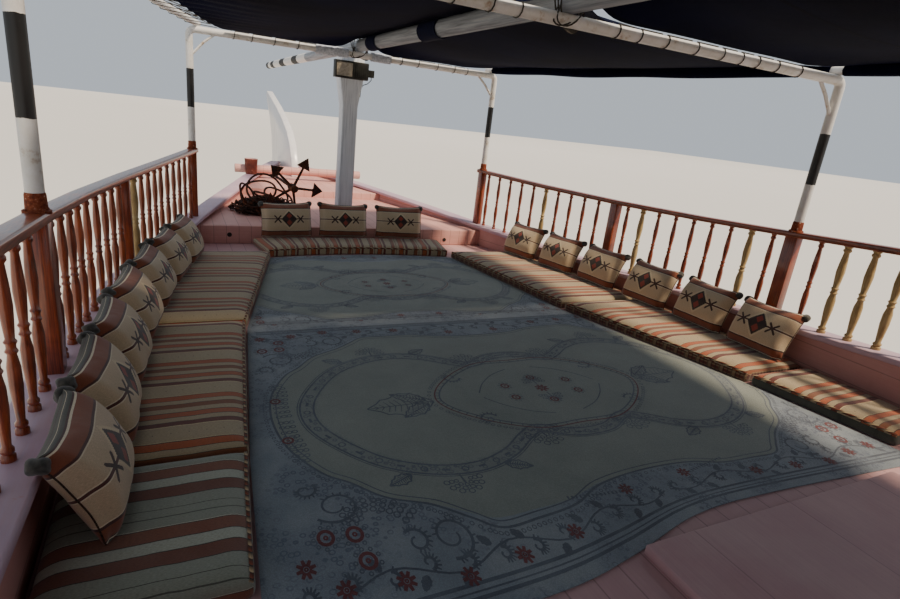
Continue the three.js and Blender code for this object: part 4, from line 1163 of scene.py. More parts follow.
# height of each band's lower edge over the middle, its colour
CUSHION_BANDS = (
    (-0.3, RIM), (-0.197, IVORY), (-0.192, WINE), (-0.184, BRICK), (-0.136, WINE), (-0.126, IVORY),
    (-0.121, FIELD), (-0.01, IVORY), (-0.007, "#511610"), (0.007, IVORY), (0.01, FIELD), (0.108, IVORY),
    (0.113, WINE), (0.123, BRICK), (0.178, IVORY), (0.183, WINE), (0.191, RIM), (0.222, IVORY),
    (0.226, RIM), (0.256, WINE), (0.262, RIM))
bands = add(wool, "ValToRGB", [band_run], stops=[
    ((height + BAND_REACH) / (2 * BAND_REACH), colour) for height, colour in CUSHION_BANDS])
bands.node.color_ramp.interpolation = "CONSTANT"
WEAVE_STEP = 0.007
du = add(wool, "Math ABSOLUTE", [across])
dv = add(wool, "Math ABSOLUTE", [upward])
su = add(wool, "Math SNAP", [du, WEAVE_STEP])
sv = add(wool, "Math SNAP", [dv, WEAVE_STEP])
away = add(wool, "Math ADD", [su, sv])
halo = add(wool, "Math LESS_THAN", [away, 0.1])
lozenge = add(wool, "Math LESS_THAN", [away, 0.081])
core = add(wool, "Math ADD", [su, away_from(wool, sv, 0.033)])
core = add(wool, "Math LESS_THAN", [core, 0.03])
hook = away_from(wool, du, 0.128)
hook_reach = add(wool, "Math MAXIMUM", [hook, dv])
hook_away = away_from(wool, hook, dv)
hook_near = add(wool, "Math LESS_THAN", [hook_reach, 0.04])
hook_bar = add(wool, "Math LESS_THAN", [hook_away, 0.0105])
hooks = add(wool, "Math MULTIPLY", [hook_near, hook_bar])
off_line = add(wool, "Math GREATER_THAN", [dv, 0.007])
halo = add(wool, "Math MULTIPLY", [halo, off_line])
core = add(wool, "Math MULTIPLY", [core, off_line])
cloth = bands
for mask, colour in ((halo, "#dcc8a2"), (lozenge, "#26100c"), (core, "#96301c"), (hooks, "#34130e")):
    cloth = add(wool, "Mix", [mask, cloth, colour])

woven_finish(wool, cloth, "#94836c", (7.0, 0.4), (110.0, 520.0, 1.0), 0.76, (0.4, 0.0015))
# Grey binding cloth at the corners: coarse, dull and a little grubby.
binding_cloth = mottled(
    "grey_binding_cloth", "#3c3b36", 0.95, (60.0, 6.0, 0.5), [(0.35, "#2a2925"), (0.7, "#4f4d45")],
    (0.5, 0.002), Sheen_Weight=0.3, Sheen_Roughness=0.6)
# Dark wool cord, laid from thin plies, closes the end seams.
seam_cord = mottled(
    "dark_seam_cord", "#3a2a22", 0.9, (240.0, 2.0, 0.5), [(0.35, "#241a16"), (0.7, "#574236")], (0.5, 0.001))

CUSHION_CELLS = (30, 22, 6)


def cushion_form(name, wide, high, lean):
    """One cushion before it is placed: x along it, y up its back, z out of its back. Its
    ends are round, and its lower edge is cut to stand flat on the seat when the back leans."""
    def put(a, b, c):
        u, v = 2 * a - 1, 2 * b - 1
        lens = 1 - abs(v) ** 2.3
        belly = 1 - abs(u) ** 2.8
        to_end = max(0.0, (abs(u) - 0.72) / 0.28)
        front = 0.06 + lens * (0.046 + 0.036 * belly) - 0.03 * to_end ** 2.4
        back = 0.017 * (1 - lens * belly)
        out = back + c * (front - back)
        pinch = 1 if c > 0.5 else 0.4
        waist = 1 - 0.03 * (1 - v * v) * abs(u) ** 3 - 0.1 * to_end * (2 * c - 1) ** 2 * pinch
        sag = 0.012 * (1 - u * u) * max(0.0, v) ** 3
        foot = -out * tan(lean) * (1 - b) ** 2
        return Vector((u * 0.5 * (wide - 0.012) * waist, 0.004 + foot + b * (high - 0.014) - sag, out))

    form, order = stuffed_block(name, put, (wide, high, 0.1), CUSHION_CELLS)
    blow_up(form, 3.5, 0.009)
    flat = form.data.uv_layers["cloth"].data
    for corner in flat:
        corner.uv.x -= wide / 2
        corner.uv.y -= high / 2
    return form, order


def gathered_corner(centre, outward, turn):
    """A pillow's corner drawn together and bound: a small lump with four deep folds."""
    lump = begin("uv_sphere", "lump", segments=24, ring_count=12, radius=0.036, location=(0, 0, 0))
    for vertex in lump.data.vertices:
        angle = atan2(vertex.co.y, vertex.co.x)
        fold = 1 + 0.16 * cos(4 * angle + turn) * (1 - abs(vertex.co.z) / 0.04)
        vertex.co.x *= fold
        vertex.co.y *= 0.8 * fold
        vertex.co.z *= 1.25 if vertex.co.z < 0 else 0.9
    lump.data.transform(Matrix.Translation(centre) @ outward.to_track_quat("Z", "Y").to_matrix().to_4x4())
    return lump


def back_frame(node):
    """The foot of a CAD cushion's flat back, its directions along, up and out, and its size."""
    solid = copy_of(node, "solid_sides")
    back = max(solid.data.polygons, key=lambda face: face.area)
    out = -back.normal.copy()
    corners = sorted((
        vertex.co.copy() for vertex in solid.data.vertices
        if abs((vertex.co - back.center).dot(out)) < 0.002), key=lambda corner: corner.z)
    bpy.data.objects.remove(solid)
    foot, head = (corners[0] + corners[1]) / 2, (corners[-1] + corners[-2]) / 2
    upright = (head - foot).normalized()
    return foot, upright.cross(out), upright, out, (corners[1] - corners[0]).length, (head - foot).length


forms = {}
cushion_nodes = sorted(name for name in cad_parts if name.startswith("cushion_"))
for number, node in enumerate(cushion_nodes):
    foot, wide, upright, out, width, height = back_frame(node)
    lean = asin(out.z)
    size = (round(width, 3), round(height, 3))
    if size not in forms:
        forms[size] = cushion_form(f"cushion_form_{len(forms)}", *size, lean)
    form, order = forms[size]
    cushion = new_piece(f"back_{node}", form.data.copy())
    roll = random.Random(number)
    slump, twist, lean_in = roll.uniform(-0.014, 0.014), roll.uniform(-0.08, 0.08), roll.uniform(0.6, 1.25)
    for vertex in cushion.data.vertices:
        u, v = vertex.co.x / width * 2, vertex.co.y / height * 2 - 1
        dent = 0.01 * noise.noise(Vector((u * 1.7, v * 1.6, number * 2.3)))
        vertex.co.z += (dent + twist * 0.1 * u * v) * min(1.0, vertex.co.z / 0.05)
        vertex.co.y += (slump * u * 0.5 - 0.008 * lean_in * (1 - u * u)) * max(0.0, v)
        vertex.co.z = max(vertex.co.z, 0.001)
    turn = Matrix((wide, upright, out)).transposed().to_4x4()
    cushion.data.transform(Matrix.Translation(foot) @ turn)
    worked(cushion, "SUBSURF", levels=1, render_levels=1)
    keep_off(cushion, foot.z + 0.0005)
    settle(cushion, wool, [node], smooth=80)
    seams, lumps = [], []
    along, high, deep = CUSHION_CELLS
    for end, way in ((0, -1), (along, 1)):
        line = [cushion.data.vertices[order[end, j, deep // 2]].co.copy() for j in range(high + 1)]
        seams.append(tube("seam", line, 0.0034, 8))
        outward = (wide * way + upright * 0.7).normalized()
        lumps.append(gathered_corner(line[-1] - outward * 0.012 - upright * 0.014, outward, number))
    settle(join_pieces(f"seams_{node}", seams), seam_cord, smooth=60)
    settle(join_pieces(f"gathered_corners_{node}", lumps), binding_cloth, smooth=70)
for form, order in forms.values():
    bpy.data.objects.remove(form)

# A floodlight hangs on the mast's aft face under its head: a cast black housing with
# cooling fins, a glazed front at its port half and a small junction box.
LAMP_LOW = DECK + 1.89
LAMP_HIGH = DECK + 2.08
satin_black = start_material("satin_black_casting", "#1c1d1c", 0.45, Specular_IOR_Level=0.4)
place = add(satin_black, "TexCoord", out="Object")
casting = add(satin_black, "TexNoise", Vector=place, Scale=220.0, Detail=3.0)
chalk = add(satin_black, "TexNoise", Vector=place, Scale=12.0, Detail=6.0)
connect(
    satin_black,
    Base_Color=add(satin_black, "ValToRGB", [chalk], stops=[(0.4, "#0f100f"), (0.75, "#242521")]),
    relief=(casting, 0.2, 0.0006))
salted_glass = mottled(
    "salted_lamp_glass", "#a39a88", 0.25, (26.0, 7.0, 0.5), [(0.3, "#7c7466"), (0.7, "#b8b0a0")],
    None, (0.12, 0.6), Coat_Weight=0.5)


def box_piece(name, low, high):
    """A squared block between two corners, its size and place in its mesh."""
    low, high = Vector(low), Vector(high)
    piece = begin("cube", name, size=1, location=(low + high) / 2, scale=high - low)
    apply_place()
    return piece


def press_in(piece, facing, margin, depth):
    """Insets the piece's largest face that looks one way, and presses the inner part in."""
    facing = Vector(facing)
    side = max(
        (face for face in piece.data.polygons if face.normal.dot(facing) > 0.9), key=lambda face: face.area)
    for face in piece.data.polygons:
        face.select = face.index == side.index
    for line in piece.data.edges:
        line.select = False
    for vertex in piece.data.vertices:
        vertex.select = vertex.index in side.vertices
    select_only(piece)
    bpy.ops.object.mode_set(mode="EDIT")
    bpy.ops.mesh.select_mode(type="FACE")
    bpy.ops.mesh.inset(thickness=margin, depth=0)
    extrude(tuple(-depth * facing))
    bpy.ops.object.mode_set(mode="OBJECT")


housing = box_piece("lamp_housing", (-0.23, 3.262, LAMP_LOW), (0.17, 3.3297, LAMP_HIGH))
front_frame = box_piece("lamp_frame", (-0.228, 3.232, LAMP_LOW + 0.004), (-0.005, 3.262, LAMP_HIGH - 0.004))
press_in(front_frame, (0, -1, 0), 0.016, 0.012)
driver_box = box_piece("lamp_driver", (0.0, 3.234, LAMP_LOW + 0.008), (0.165, 3.262, LAMP_HIGH - 0.008))
junction = box_piece("lamp_junction", (0.169, 3.25, DECK + 1.93), (0.24, 3.3, DECK + 2.01))
parts = [housing, front_frame, driver_box, junction]
for number in range(7):
    x = 0.012 + number * 0.0235
    parts.append(box_piece("fin", (x, 3.2302, LAMP_LOW + 0.014), (x + 0.006, 3.236, LAMP_HIGH - 0.014)))
for part in parts:
    ease_edges(part, 0.0025)
lamp = join_pieces("floodlight_housing", parts)
settle(lamp, satin_black, ["floodlight"])
pane = box_piece("floodlight_pane", (-0.21, 3.2435, LAMP_LOW + 0.021), (-0.023, 3.2455, LAMP_HIGH - 0.021))
ease_edges(pane, 0.0006, 1)
settle(pane, salted_glass)
lamp_lead = tube("lamp_lead", [
    (0.205, 3.255, DECK + 1.932), (0.205, 3.25, DECK + 1.9), (0.18, 3.3, DECK + 1.86),
    (0.14, 3.345, DECK + 1.84), (0.112, 3.343, DECK + 1.8), (0.108, 3.3395, DECK + 1.7)], 0.005, 8)
settle(lamp_lead, satin_black, smooth=60)

# The anchor is a forged five-armed grapnel with flat arrow-head flukes, propped on the
# bow step where it was dropped, pitted all over with dark rust.
rusted_iron = start_material("rusted_forged_iron", "#3a2620", 0.82, Metallic=0.3)
place = add(rusted_iron, "TexCoord", out="Object")
pitting = add(rusted_iron, "TexNoise", Vector=place, Scale=70.0, Detail=8.0, Roughness=0.7)
bloom = add(rusted_iron, "TexNoise", Vector=place, Scale=9.0, Detail=5.0)
rust_share = add(rusted_iron, "Math MULTIPLY_ADD", [bloom, 0.6, pitting])
connect(
    rusted_iron,
    Base_Color=add(rusted_iron, "ValToRGB", [rust_share], stops=[
        (0.55, "#1d1513"), (0.78, "#3b231a"), (0.92, "#6b3a20"), (1.0, "#8a4f2a")]),
    relief=(pitting, 0.6, 0.0015))
grapnel = copy_of("grapnel", "grapnel_anchor")
worked(grapnel, "REMESH", mode="VOXEL", voxel_size=0.006)
worked(grapnel, "SMOOTH", factor=0.5, iterations=2)
settle(grapnel, rusted_iron, ["grapnel"], smooth=60)

# Beside it lies its chain, dropped in a heap of short oval links, each of round bar
# and turned a quarter against the next.
HEAP_AT = Vector((-0.9, 3.8, STEP_TOP + 0.0003))
# share of the way in, radius, height
HEAP_TURNS = [
    (0.0, 0.395, 0.022), (0.3, 0.36, 0.07), (0.6, 0.27, 0.125), (0.85, 0.15, 0.16), (1.0, 0.05, 0.175)]
link = begin(
    "torus", "link_pattern", major_radius=0.026, minor_radius=0.0085, major_segments=12, minor_segments=5,
    location=(0, 0, 0))
for vertex in link.data.vertices:
    vertex.co.x += copysign(0.017, vertex.co.x) if abs(vertex.co.x) > 0.001 else 0
heap_links = []
roll = random.Random(7)
LINKS = 210
angle = 0.0
for number in range(LINKS):
    share = number / LINKS
    radius = read_table(HEAP_TURNS, share, 1) * (1 + 0.1 * sin(7 * angle))
    rise_by = read_table(HEAP_TURNS, share, 2)
    centre = HEAP_AT + Vector((
        radius * cos(angle), 0.85 * radius * sin(angle), rise_by + roll.uniform(-0.008, 0.01)))
    made = new_piece("link", link.data.copy())
    run = Vector((-sin(angle), 0.85 * cos(angle), roll.uniform(-0.25, 0.25)))
    made.data.transform(
        Matrix.Translation(centre) @ run.to_track_quat("X", "Z").to_matrix().to_4x4()
        @ Matrix.Rotation(pi / 2 * (number % 2) + roll.uniform(-0.5, 0.5), 4, "X"))
    heap_links.append(made)
    angle += 0.062 / max(radius, 0.05)
bpy.data.objects.remove(link)
under_heap = copy_of("chain_heap", "under_heap")
for vertex in under_heap.data.vertices:
    vertex.co = HEAP_AT + (vertex.co - HEAP_AT) * 0.86
worked(under_heap, "SUBSURF", levels=3, render_levels=3)
for vertex in under_heap.data.vertices:
    vertex.co += vertex.normal * 0.018 * noise.noise(vertex.co * 16)
    vertex.co.z = max(vertex.co.z, STEP_TOP + 0.001)
# Loops of stiff anchor wire stand in the heap: each one's x and y from the heap's
# middle, its radius, and its tilt and turn in degrees.
WIRE_LOOPS = (
    (0.0, -0.12, 0.25, 54, 10), (-0.12, -0.18, 0.2, 62, -25), (0.14, -0.08, 0.19, 44, 40),
    (-0.22, -0.02, 0.17, 66, 65), (0.04, -0.2, 0.22, 30, 120))
loops = []
for along_x, along_y, radius, tilt, turn in WIRE_LOOPS:
    stood = Matrix.Rotation(radians(turn), 4, "Z") @ Matrix.Rotation(radians(tilt), 4, "X")
    ring = []
    for step in range(40):
        angle = 2 * pi * step / 40
        bent = radius * (1 + 0.1 * sin(2 * angle + turn) + 0.06 * sin(3 * angle + turn))
        ring.append(stood @ Vector((bent * cos(angle), 0.86 * bent * sin(angle), 0.0)))
    low = min(spot.z for spot in ring)
    middle = HEAP_AT + Vector((along_x, along_y, 0.1 - low))
    loops.append(tube("wire_loop", [middle + spot for spot in ring], 0.013, 8, closed=True))
chain_heap = join_pieces("anchor_chain_heap", heap_links + [under_heap] + loops)
keep_off(chain_heap, STEP_TOP + 0.0005)
settle(chain_heap, rusted_iron, ["chain_heap"], smooth=60)

# The wheelhouse stands on the after deck: framed and clad in varnished boards, with
# framed windows all round and a doorway aft.
HOUSE_FRONT, HOUSE_BACK, HOUSE_SIDE = -5.1, -7.6, 1.25
house_boards = varnished_wood(
    "varnished_house_boards", "#5c2c15", "#8a4c28", "#a8683c", (3.0, 3.0, 130.0), 0.55, 0.38)
place = house_boards.node_tree.nodes["Texture Coordinate"].outputs["Object"]
house_shader = house_boards.node_tree.nodes["Principled BSDF"]
house_colour = house_shader.inputs["Base Color"].links[0].from_socket
board_run = add(house_boards, "SeparateXYZ", [place], out="Z")
board_run = add(house_boards, "Math MULTIPLY", [board_run, 1 / 0.115])
board_part = add(house_boards, "Math FRACT", [board_run])
groove = add(house_boards, "MapRange", [board_part, 0.03, 0.06, 1.0, 0.0])
board_tint = add(
    house_boards, "TexWhiteNoise", W=add(house_boards, "Math FLOOR", [board_run]), noise_dimensions="1D")
board_tint = add(house_boards, "Math MULTIPLY", [board_tint, 0.35])
house_colour = add(house_boards, "Mix", [board_tint, house_colour, "#6d3519"])
house_colour = add(house_boards, "Mix", [groove, house_colour, "#23100a"])
connect(
    house_boards, Base_Color=house_colour,
    Normal=add(house_boards, "Bump", Height=groove, Strength=0.6, Distance=0.004, invert=True))
eased_copy("wheelhouse", "wheelhouse_boards", house_boards, 0.006)

# Each window has a mitred frame planted outside and a pane of clear glass.
WINDOW_LOW, WINDOW_HIGH = DECK + 1.05, DECK + 1.78
cream_trim = brushed_paint(
    "cream_trim_paint", "#ddd6c4", "#ece6d6", "#b3a78f", grain=(40.0, 40.0, 40.0), roughness=0.4)
clear_pane = start_material(
    "clear_window_glass", "#dfe9ea", 0.05, Transmission_Weight=1.0, IOR=1.45, Specular_IOR_Level=0.5)
streaks_at = add(
    clear_pane, "Mapping", Vector=add(clear_pane, "TexCoord", out="Object"), Scale=(14.0, 14.0, 1.5))
streaks = add(clear_pane, "TexNoise", Vector=streaks_at, Scale=1.0, Detail=5.0)
connect(clear_pane, Roughness=add(clear_pane, "MapRange", [streaks, 0.4, 0.8, 0.02, 0.3]))
# middle x, y, half-width, way it looks
WINDOWS = [(x, HOUSE_FRONT, 0.31, "fore") for x in (-0.79, 0.0, 0.79)]
WINDOWS += [(side * HOUSE_SIDE, y, 0.4, "side") for side in (-1, 1) for y in (-5.75, -6.9)]
WINDOWS += [(0.71, HOUSE_BACK, 0.29, "aft")]
frames, panes = [], []
for x, y, half, way in WINDOWS:
    turn = {"fore": 0, "aft": pi, "side": copysign(pi / 2, -x)}[way]
    middle = Vector((x, y, (WINDOW_LOW + WINDOW_HIGH) / 2))
    tall = WINDOW_HIGH - WINDOW_LOW
    window = begin("plane", "frame", size=1, location=(0, 0, 0), rotation=(-pi / 2, 0, 0))
    window.scale = (2 * half + 0.13, tall + 0.13, 1)
    apply_place()
    edit_all()
    bpy.ops.mesh.inset(thickness=0.075, depth=0)
    bpy.ops.mesh.delete(type="FACE")
    bpy.ops.mesh.select_all(action="SELECT")
    extrude((0, 0.022, 0))
    end_edit()
    ease_edges(window, 0.005)
    away = Matrix.Rotation(turn, 4, "Z")
    window.data.transform(Matrix.Translation(middle) @ away @ Matrix.Translation((0, 0.0005, 0)))
    frames.append(window)
    wide_to, high_to = half - 0.001, tall / 2 - 0.001
    glass = box_piece("pane", (-wide_to, -0.033, -high_to), (wide_to, -0.027, high_to))
    ease_edges(glass, 0.001, 1)
    glass.data.transform(Matrix.Translation(middle) @ away)
    panes.append(glass)
settle(join_pieces("window_frames", frames), cream_trim)
settle(join_pieces("window_panes", panes), clear_pane)

# The door is a framed leaf with two sunk panels and a brass lever, hung on two butt
# hinges in a planted casing. It swings out over the after deck.
door_leaf = copy_of("wheelhouse_door", "door_leaf")
ease_edges(door_leaf, 0.004)
settle(door_leaf, house_boards, ["wheelhouse_door"], "door")
door_low, door_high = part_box("wheelhouse_door")
panel_trim = []
for low_share, high_share in ((0.08, 0.46), (0.53, 0.93)):
    tall = door_high[2] - door_low[2]
    moulding = box_piece(
        "moulding", (-0.44, HOUSE_BACK - 0.012, door_low[2] + tall * low_share),
        (0.06, HOUSE_BACK + 0.001, door_low[2] + tall * high_share))
    press_in(moulding, (0, -1, 0), 0.03, 0.009)
    ease_edges(moulding, 0.002)
    panel_trim.append(moulding)
settle(join_pieces("door_panels", panel_trim), upright_mahogany, body="door")
brass = mottled(
    "polished_brass", "#b08d45", 0.28, (40.0, 5.0, 0.5), [(0.35, "#8a6a2e"), (0.7, "#c2a05a")],
    None, (0.2, 0.5), Metallic=1.0)
lever = tube("door_lever", [
    (0.08, HOUSE_BACK + 0.002, 2.35), (0.08, HOUSE_BACK - 0.044, 2.35), (0.065, HOUSE_BACK - 0.051, 2.35),
    (-0.03, HOUSE_BACK - 0.051, 2.347)], 0.008, 12)
back_plate = box_piece("lever_plate", (0.062, HOUSE_BACK - 0.003, 2.27), (0.098, HOUSE_BACK + 0.001, 2.4))
ease_edges(back_plate, 0.001)
settle(join_pieces("door_lever_set", [lever, back_plate]), brass, body="door", smooth=60)

# Planed boards are planted over the house's corners and round the doorway, clear of
# the hinges.
HOUSE_FOOT, HOUSE_HEAD = DECK + 0.003, DECK + 2.078
PLANTED = 0.014


def planted_board(corner, opposite):
    ends = list(zip(corner, opposite))
    board = box_piece("board", [min(pair) for pair in ends], [max(pair) for pair in ends])
    ease_edges(board, 0.002)
    return board


boards = []
for x_way in (-1, 1):
    side_x = x_way * HOUSE_SIDE
    outer_x = side_x + x_way * PLANTED
    for face_y, y_way in ((HOUSE_BACK, -1), (HOUSE_FRONT, 1)):
        boards.append(planted_board(
            (side_x - x_way * 0.07, face_y + y_way * 0.0002, HOUSE_FOOT),
            (outer_x, face_y + y_way * PLANTED, HOUSE_HEAD)))
        boards.append(planted_board(
            (side_x + x_way * 0.0002, face_y, HOUSE_FOOT), (outer_x, face_y - y_way * 0.07, HOUSE_HEAD)))
DOOR_HEAD = DECK + 1.882
for low_x, high_x, low_z, high_z in (
        (-0.66, -0.58, HOUSE_FOOT, DOOR_HEAD), (0.148, 0.228, HOUSE_FOOT, DOOR_HEAD),
        (-0.68, 0.248, DOOR_HEAD, DOOR_HEAD + 0.08)):
    boards.append(planted_board(
        (low_x, HOUSE_BACK - PLANTED, low_z), (high_x, HOUSE_BACK - 0.0002, high_z)))
settle(join_pieces("house_trim_boards", boards), upright_mahogany)

# The roof is a boarded slab under painted canvas, edged with a rounded bead, with a
# low grab rail along each side.
roof_canvas = brushed_paint(
    "painted_roof_canvas", "#dbd6ca", "#e9e5db", "#a9a294", board=0.24, grain=(30.0, 30.0, 30.0),
    roughness=0.6)
eased_copy("wheelhouse_roof", "roof_slab", roof_canvas, 0.02)
ROOF_TOP = 3.499
GRAB_POST = ((0, 0.03), (0.12, 0.028), (0.2, 0.015), (0.9, 0.013), (1, 0.016))
for label, side in SIDES:
    x = side * HOUSE_SIDE
    bars = [tube("rail", [(x, y, ROOF_TOP + 0.086) for y in (-7.3, -6.4, -5.4)], 0.017, 12)]
    for y in (-7.2, -6.4, -5.5):
        bars.append(turned_piece("post", GRAB_POST, (x, y, ROOF_TOP), 0.08))
    settle(join_pieces(f"roof_grab_rail_{label}", bars), rail_mahogany)

# The helm is a spoked wheel on a boxed stand inside the house. The engine is under
# it on its bearers, and the screw and the rudder are hung below.
eased_copy("helm", "helm_wheel", upright_mahogany, 0.002)
engine_enamel = brushed_paint(
    "grey_green_engine_enamel", "#55635e", "#66756f", "#2b2f2c", grain=(20.0, 20.0, 20.0), roughness=0.5)
eased_copy("engine", "engine_block", engine_enamel, 0.02)
cast_bronze = mottled(
    "cast_bronze", "#a8843f", 0.38, (14.0, 7.0, 0.5),
    [(0.35, "#7c5f2c"), (0.58, "#b38f4c"), (0.72, "#6f8264")], None, (0.25, 0.65), Metallic=1.0)
eased_copy("propeller", "screw", cast_bronze, 0.003, "propeller", 40)
rudder_timber = varnished_wood(
    "oiled_rudder_timber", "#3a2315", "#5a3a24", "#73502f", (50.0, 50.0, 3.0), 0.0, 0.6)
eased_copy("rudder", "rudder_boards", rudder_timber, 0.008, "rudder")

# Two machine-woven carpets cover the deck between the seats, the aft one over the
# fore one's edge. They have short grey-green pile and a drawing in blue-grey and red.
GROUND_LIFT = 0.0062
# y and the side edges' x from aft to fore, share of the width and y along the aft end and
# the fore end, centre of the drawing, its scale, the ripples' seed
CARPETS = (
    ("fore", ((0.34, -1.493, 1.286), (2.27, -1.056, 1.008)),
     ((0.0, 0.34), (1.0, 0.34)), ((0.0, 2.27), (0.21, 2.347), (0.5, 2.382), (0.72, 2.362), (1.0, 2.27)),
     (-0.12, 1.3), 0.86, 1.0),
    ("aft", ((-2.24, -1.723, 1.898), (-1.27, -1.657, 1.737), (0.338, -1.493, 1.286)),
     ((0.0, -2.388), (0.27, -2.388), (0.39, -2.328), (0.52, -2.222), (0.67, -2.218), (1.0, -2.3)),
     ((0.0, 0.338), (1.0, 0.338)), (0.15, -0.97), 1.0, 2.0),
)


def pile_look(name, low, middle, high, roughness=0.95):
    """Cut wool pile: short upright tufts, trodden paler in places, with painted shade between the tufts."""
    pile = start_material(name, middle, roughness, Sheen_Weight=0.25, Sheen_Roughness=0.6)
    at = add(pile, "TexCoord", out="Object")
    tufts = add(pile, "TexVoronoi", Vector=at, Scale=190.0, Randomness=0.8)
    trodden = add(pile, "TexNoise", Vector=at, Scale=2.2, Detail=8.0, Roughness=0.62)
    shade = add(pile, "ValToRGB", [trodden], stops=[(0.3, low), (0.5, middle), (0.68, high)])
    # Painted shade between the tufts: darker towards each tuft's edge, a little lighter on its tip.
    hollow = add(pile, "MapRange", [tufts, 0.0, 0.6, 1.08, 0.78])
    return pile, at, tufts, shade, hollow


def finish_pile(pile, tufts, shade, hollow):
    # The painted shade between the tufts darkens the pile's colour here.
    shade = add(pile, "Mix", [1.0, shade, hollow], blend_type="MULTIPLY")
    connect(
        pile, Base_Color=shade,
        Normal=add(pile, "Bump", Height=tufts, Strength=0.5, Distance=0.002, invert=True))


ground_pile, at, tufts, shade, hollow = pile_look(
    "worn_carpet_ground", "#717e88", "#86919a", "#97a0a5")
inside_field = add(ground_pile, "Attribute", attribute_name="field")
inside_field = add(ground_pile, "MapRange", [inside_field.node.outputs["Fac"], -0.004, 0.004])
field_shade = add(ground_pile, "ValToRGB", [shade], stops=[(0.2, "#7d867f"), (0.4, "#969d94")])
shade = add(ground_pile, "Mix", [inside_field, shade, field_shade])
# small woven sprigs crowd along the ring and in clumps outside the field
off_ring = add(ground_pile, "Attribute", attribute_name="ring")
off_ring = add(ground_pile, "Math ABSOLUTE", [off_ring.node.outputs["Fac"]])
on_ring = add(ground_pile, "MapRange", [off_ring, 0.03, 0.06, 0.9, 0.0])
clumps = add(ground_pile, "TexNoise", Vector=at, Scale=3.4, Detail=4.0)
clumps = add(ground_pile, "MapRange", [clumps, 0.44, 0.58])
outside = add(ground_pile, "Math SUBTRACT", [1.0, inside_field])
clumps = add(ground_pile, "Math MULTIPLY", [clumps, outside])
crowded = add(ground_pile, "Math MAXIMUM", [on_ring, clumps])
sprigs = add(ground_pile, "TexVoronoi", Vector=at, Scale=30.0, Randomness=0.9)
sprigs = away_from(ground_pile, sprigs, 0.34)
sprigs = add(ground_pile, "MapRange", [sprigs, 0.05, 0.12, 0.72, 0.2])
sprigs = add(ground_pile, "Math MULTIPLY", [sprigs, crowded])
shade = add(ground_pile, "Mix", [sprigs, shade, "#46526a"])
finish_pile(ground_pile, tufts, shade, hollow)
blue_pile, at, tufts, shade, hollow = pile_look("slate_blue_pile", "#37404f", "#454f60", "#5b6471")
bleached = add(blue_pile, "TexNoise", Vector=at, Scale=5.0, Detail=7.0, Roughness=0.7)
bleached = add(blue_pile, "MapRange", [bleached, 0.38, 0.68, 0.0, 0.5])
shade = add(blue_pile, "Mix", [bleached, shade, "#74808c"])
finish_pile(blue_pile, tufts, shade, hollow)
red_pile, at, tufts, shade, hollow = pile_look("dark_red_pile", "#541a20", "#6b242a", "#7c3a3c")
finish_pile(red_pile, tufts, shade, hollow)


def carpet_rise(x, y, seed):
    """The carpet's under face over the deck: it lies in long shallow ripples."""
    return DECK + 0.001 + 0.004 * (0.5 + 0.5 * noise.noise(Vector((x * 1.1, y * 1.3, seed))))


def smooth_path(points, steps=7, closed=False):
    """A smooth line through points."""
    count = len(points)
    line = []
    for spot in range(count if closed else count - 1):
        near = [spot + k for k in (-1, 0, 1, 2)]
        near = [k % count if closed else min(max(k, 0), count - 1) for k in near]
        before, start, end, after = (Vector(points[k]) for k in near)
        for step in range(steps):
            t = step / steps
            line.append(
                0.5 * (2 * start + (end - before) * t + (2 * before - 5 * start + 4 * end - after) * t * t
                       + (3 * start - before - 3 * end + after) * t ** 3))
    if not closed:
        line.append(Vector(points[-1]))
    return line


def circle(x, y, radius, count=14, flat=1.0):
    return [
        Vector((x + radius * cos(t), y + flat * radius * sin(t)))
        for t in (2 * pi * k / count for k in range(count))]


def stroke(drawing, line, width, closed=False, taper=1.0):
    """One woven line: a strip of faces along the path."""
    count = len(line)
    rails = []
    for spot in range(count):
        ahead = line[(spot + 1) % count] if closed or spot + 1 < count else line[spot]
        behind = line[spot - 1] if closed or spot > 0 else line[spot]
        run = (ahead - behind).normalized()
        side = Vector((-run.y, run.x)) * width / 2 * (1 + (taper - 1) * spot / count)
        rails.append((line[spot] - side, line[spot] + side))
    for spot in range(count if closed else count - 1):
        (a, b), (c, d) = rails[spot], rails[(spot + 1) % count]
        drawing.append((a, c, d, b))


def offset_line(line, away):
    """The same closed line, moved sideways."""
    count = len(line)
    moved = []
    for spot in range(count):
        run = (line[(spot + 1) % count] - line[spot - 1]).normalized()
        moved.append(line[spot] + Vector((-run.y, run.x)) * away)
    return moved


def comb_scroll(drawing, x, y, radius, start, hand, turns=1.25):
    """A curl that winds inwards, with teeth along its outer side."""
    steps = int(34 * turns)
    line = []
    for step in range(steps + 1):
        share = step / steps
        t = start + hand * 2 * pi * turns * share
        reach = radius * (1 - 0.72 * share ** 0.9)
        line.append(Vector((x + reach * cos(t), y + reach * sin(t))))
    stroke(drawing, line, 0.013, taper=0.6)
    for step in range(1, int(steps * 0.62), 2):
        out = (line[step] - Vector((x, y))).normalized()
        tooth = out * 0.02 + Vector((-out.y, out.x)) * hand * 0.007
        stroke(drawing, [line[step], line[step] + tooth], 0.009, taper=0.3)


def red_ring_flower(blue, red, x, y, radius):
    stroke(red, circle(x, y, radius * 0.8), radius * 0.38, closed=True)
    stroke(red, circle(x, y, radius * 0.2, 8), radius * 0.2, closed=True)
    for spot in range(9):
        t = 2 * pi * spot / 9
        petal = circle(x + radius * 1.32 * cos(t), y + radius * 1.32 * sin(t), radius * 0.2, 7)
        stroke(blue, petal, radius * 0.14, closed=True)


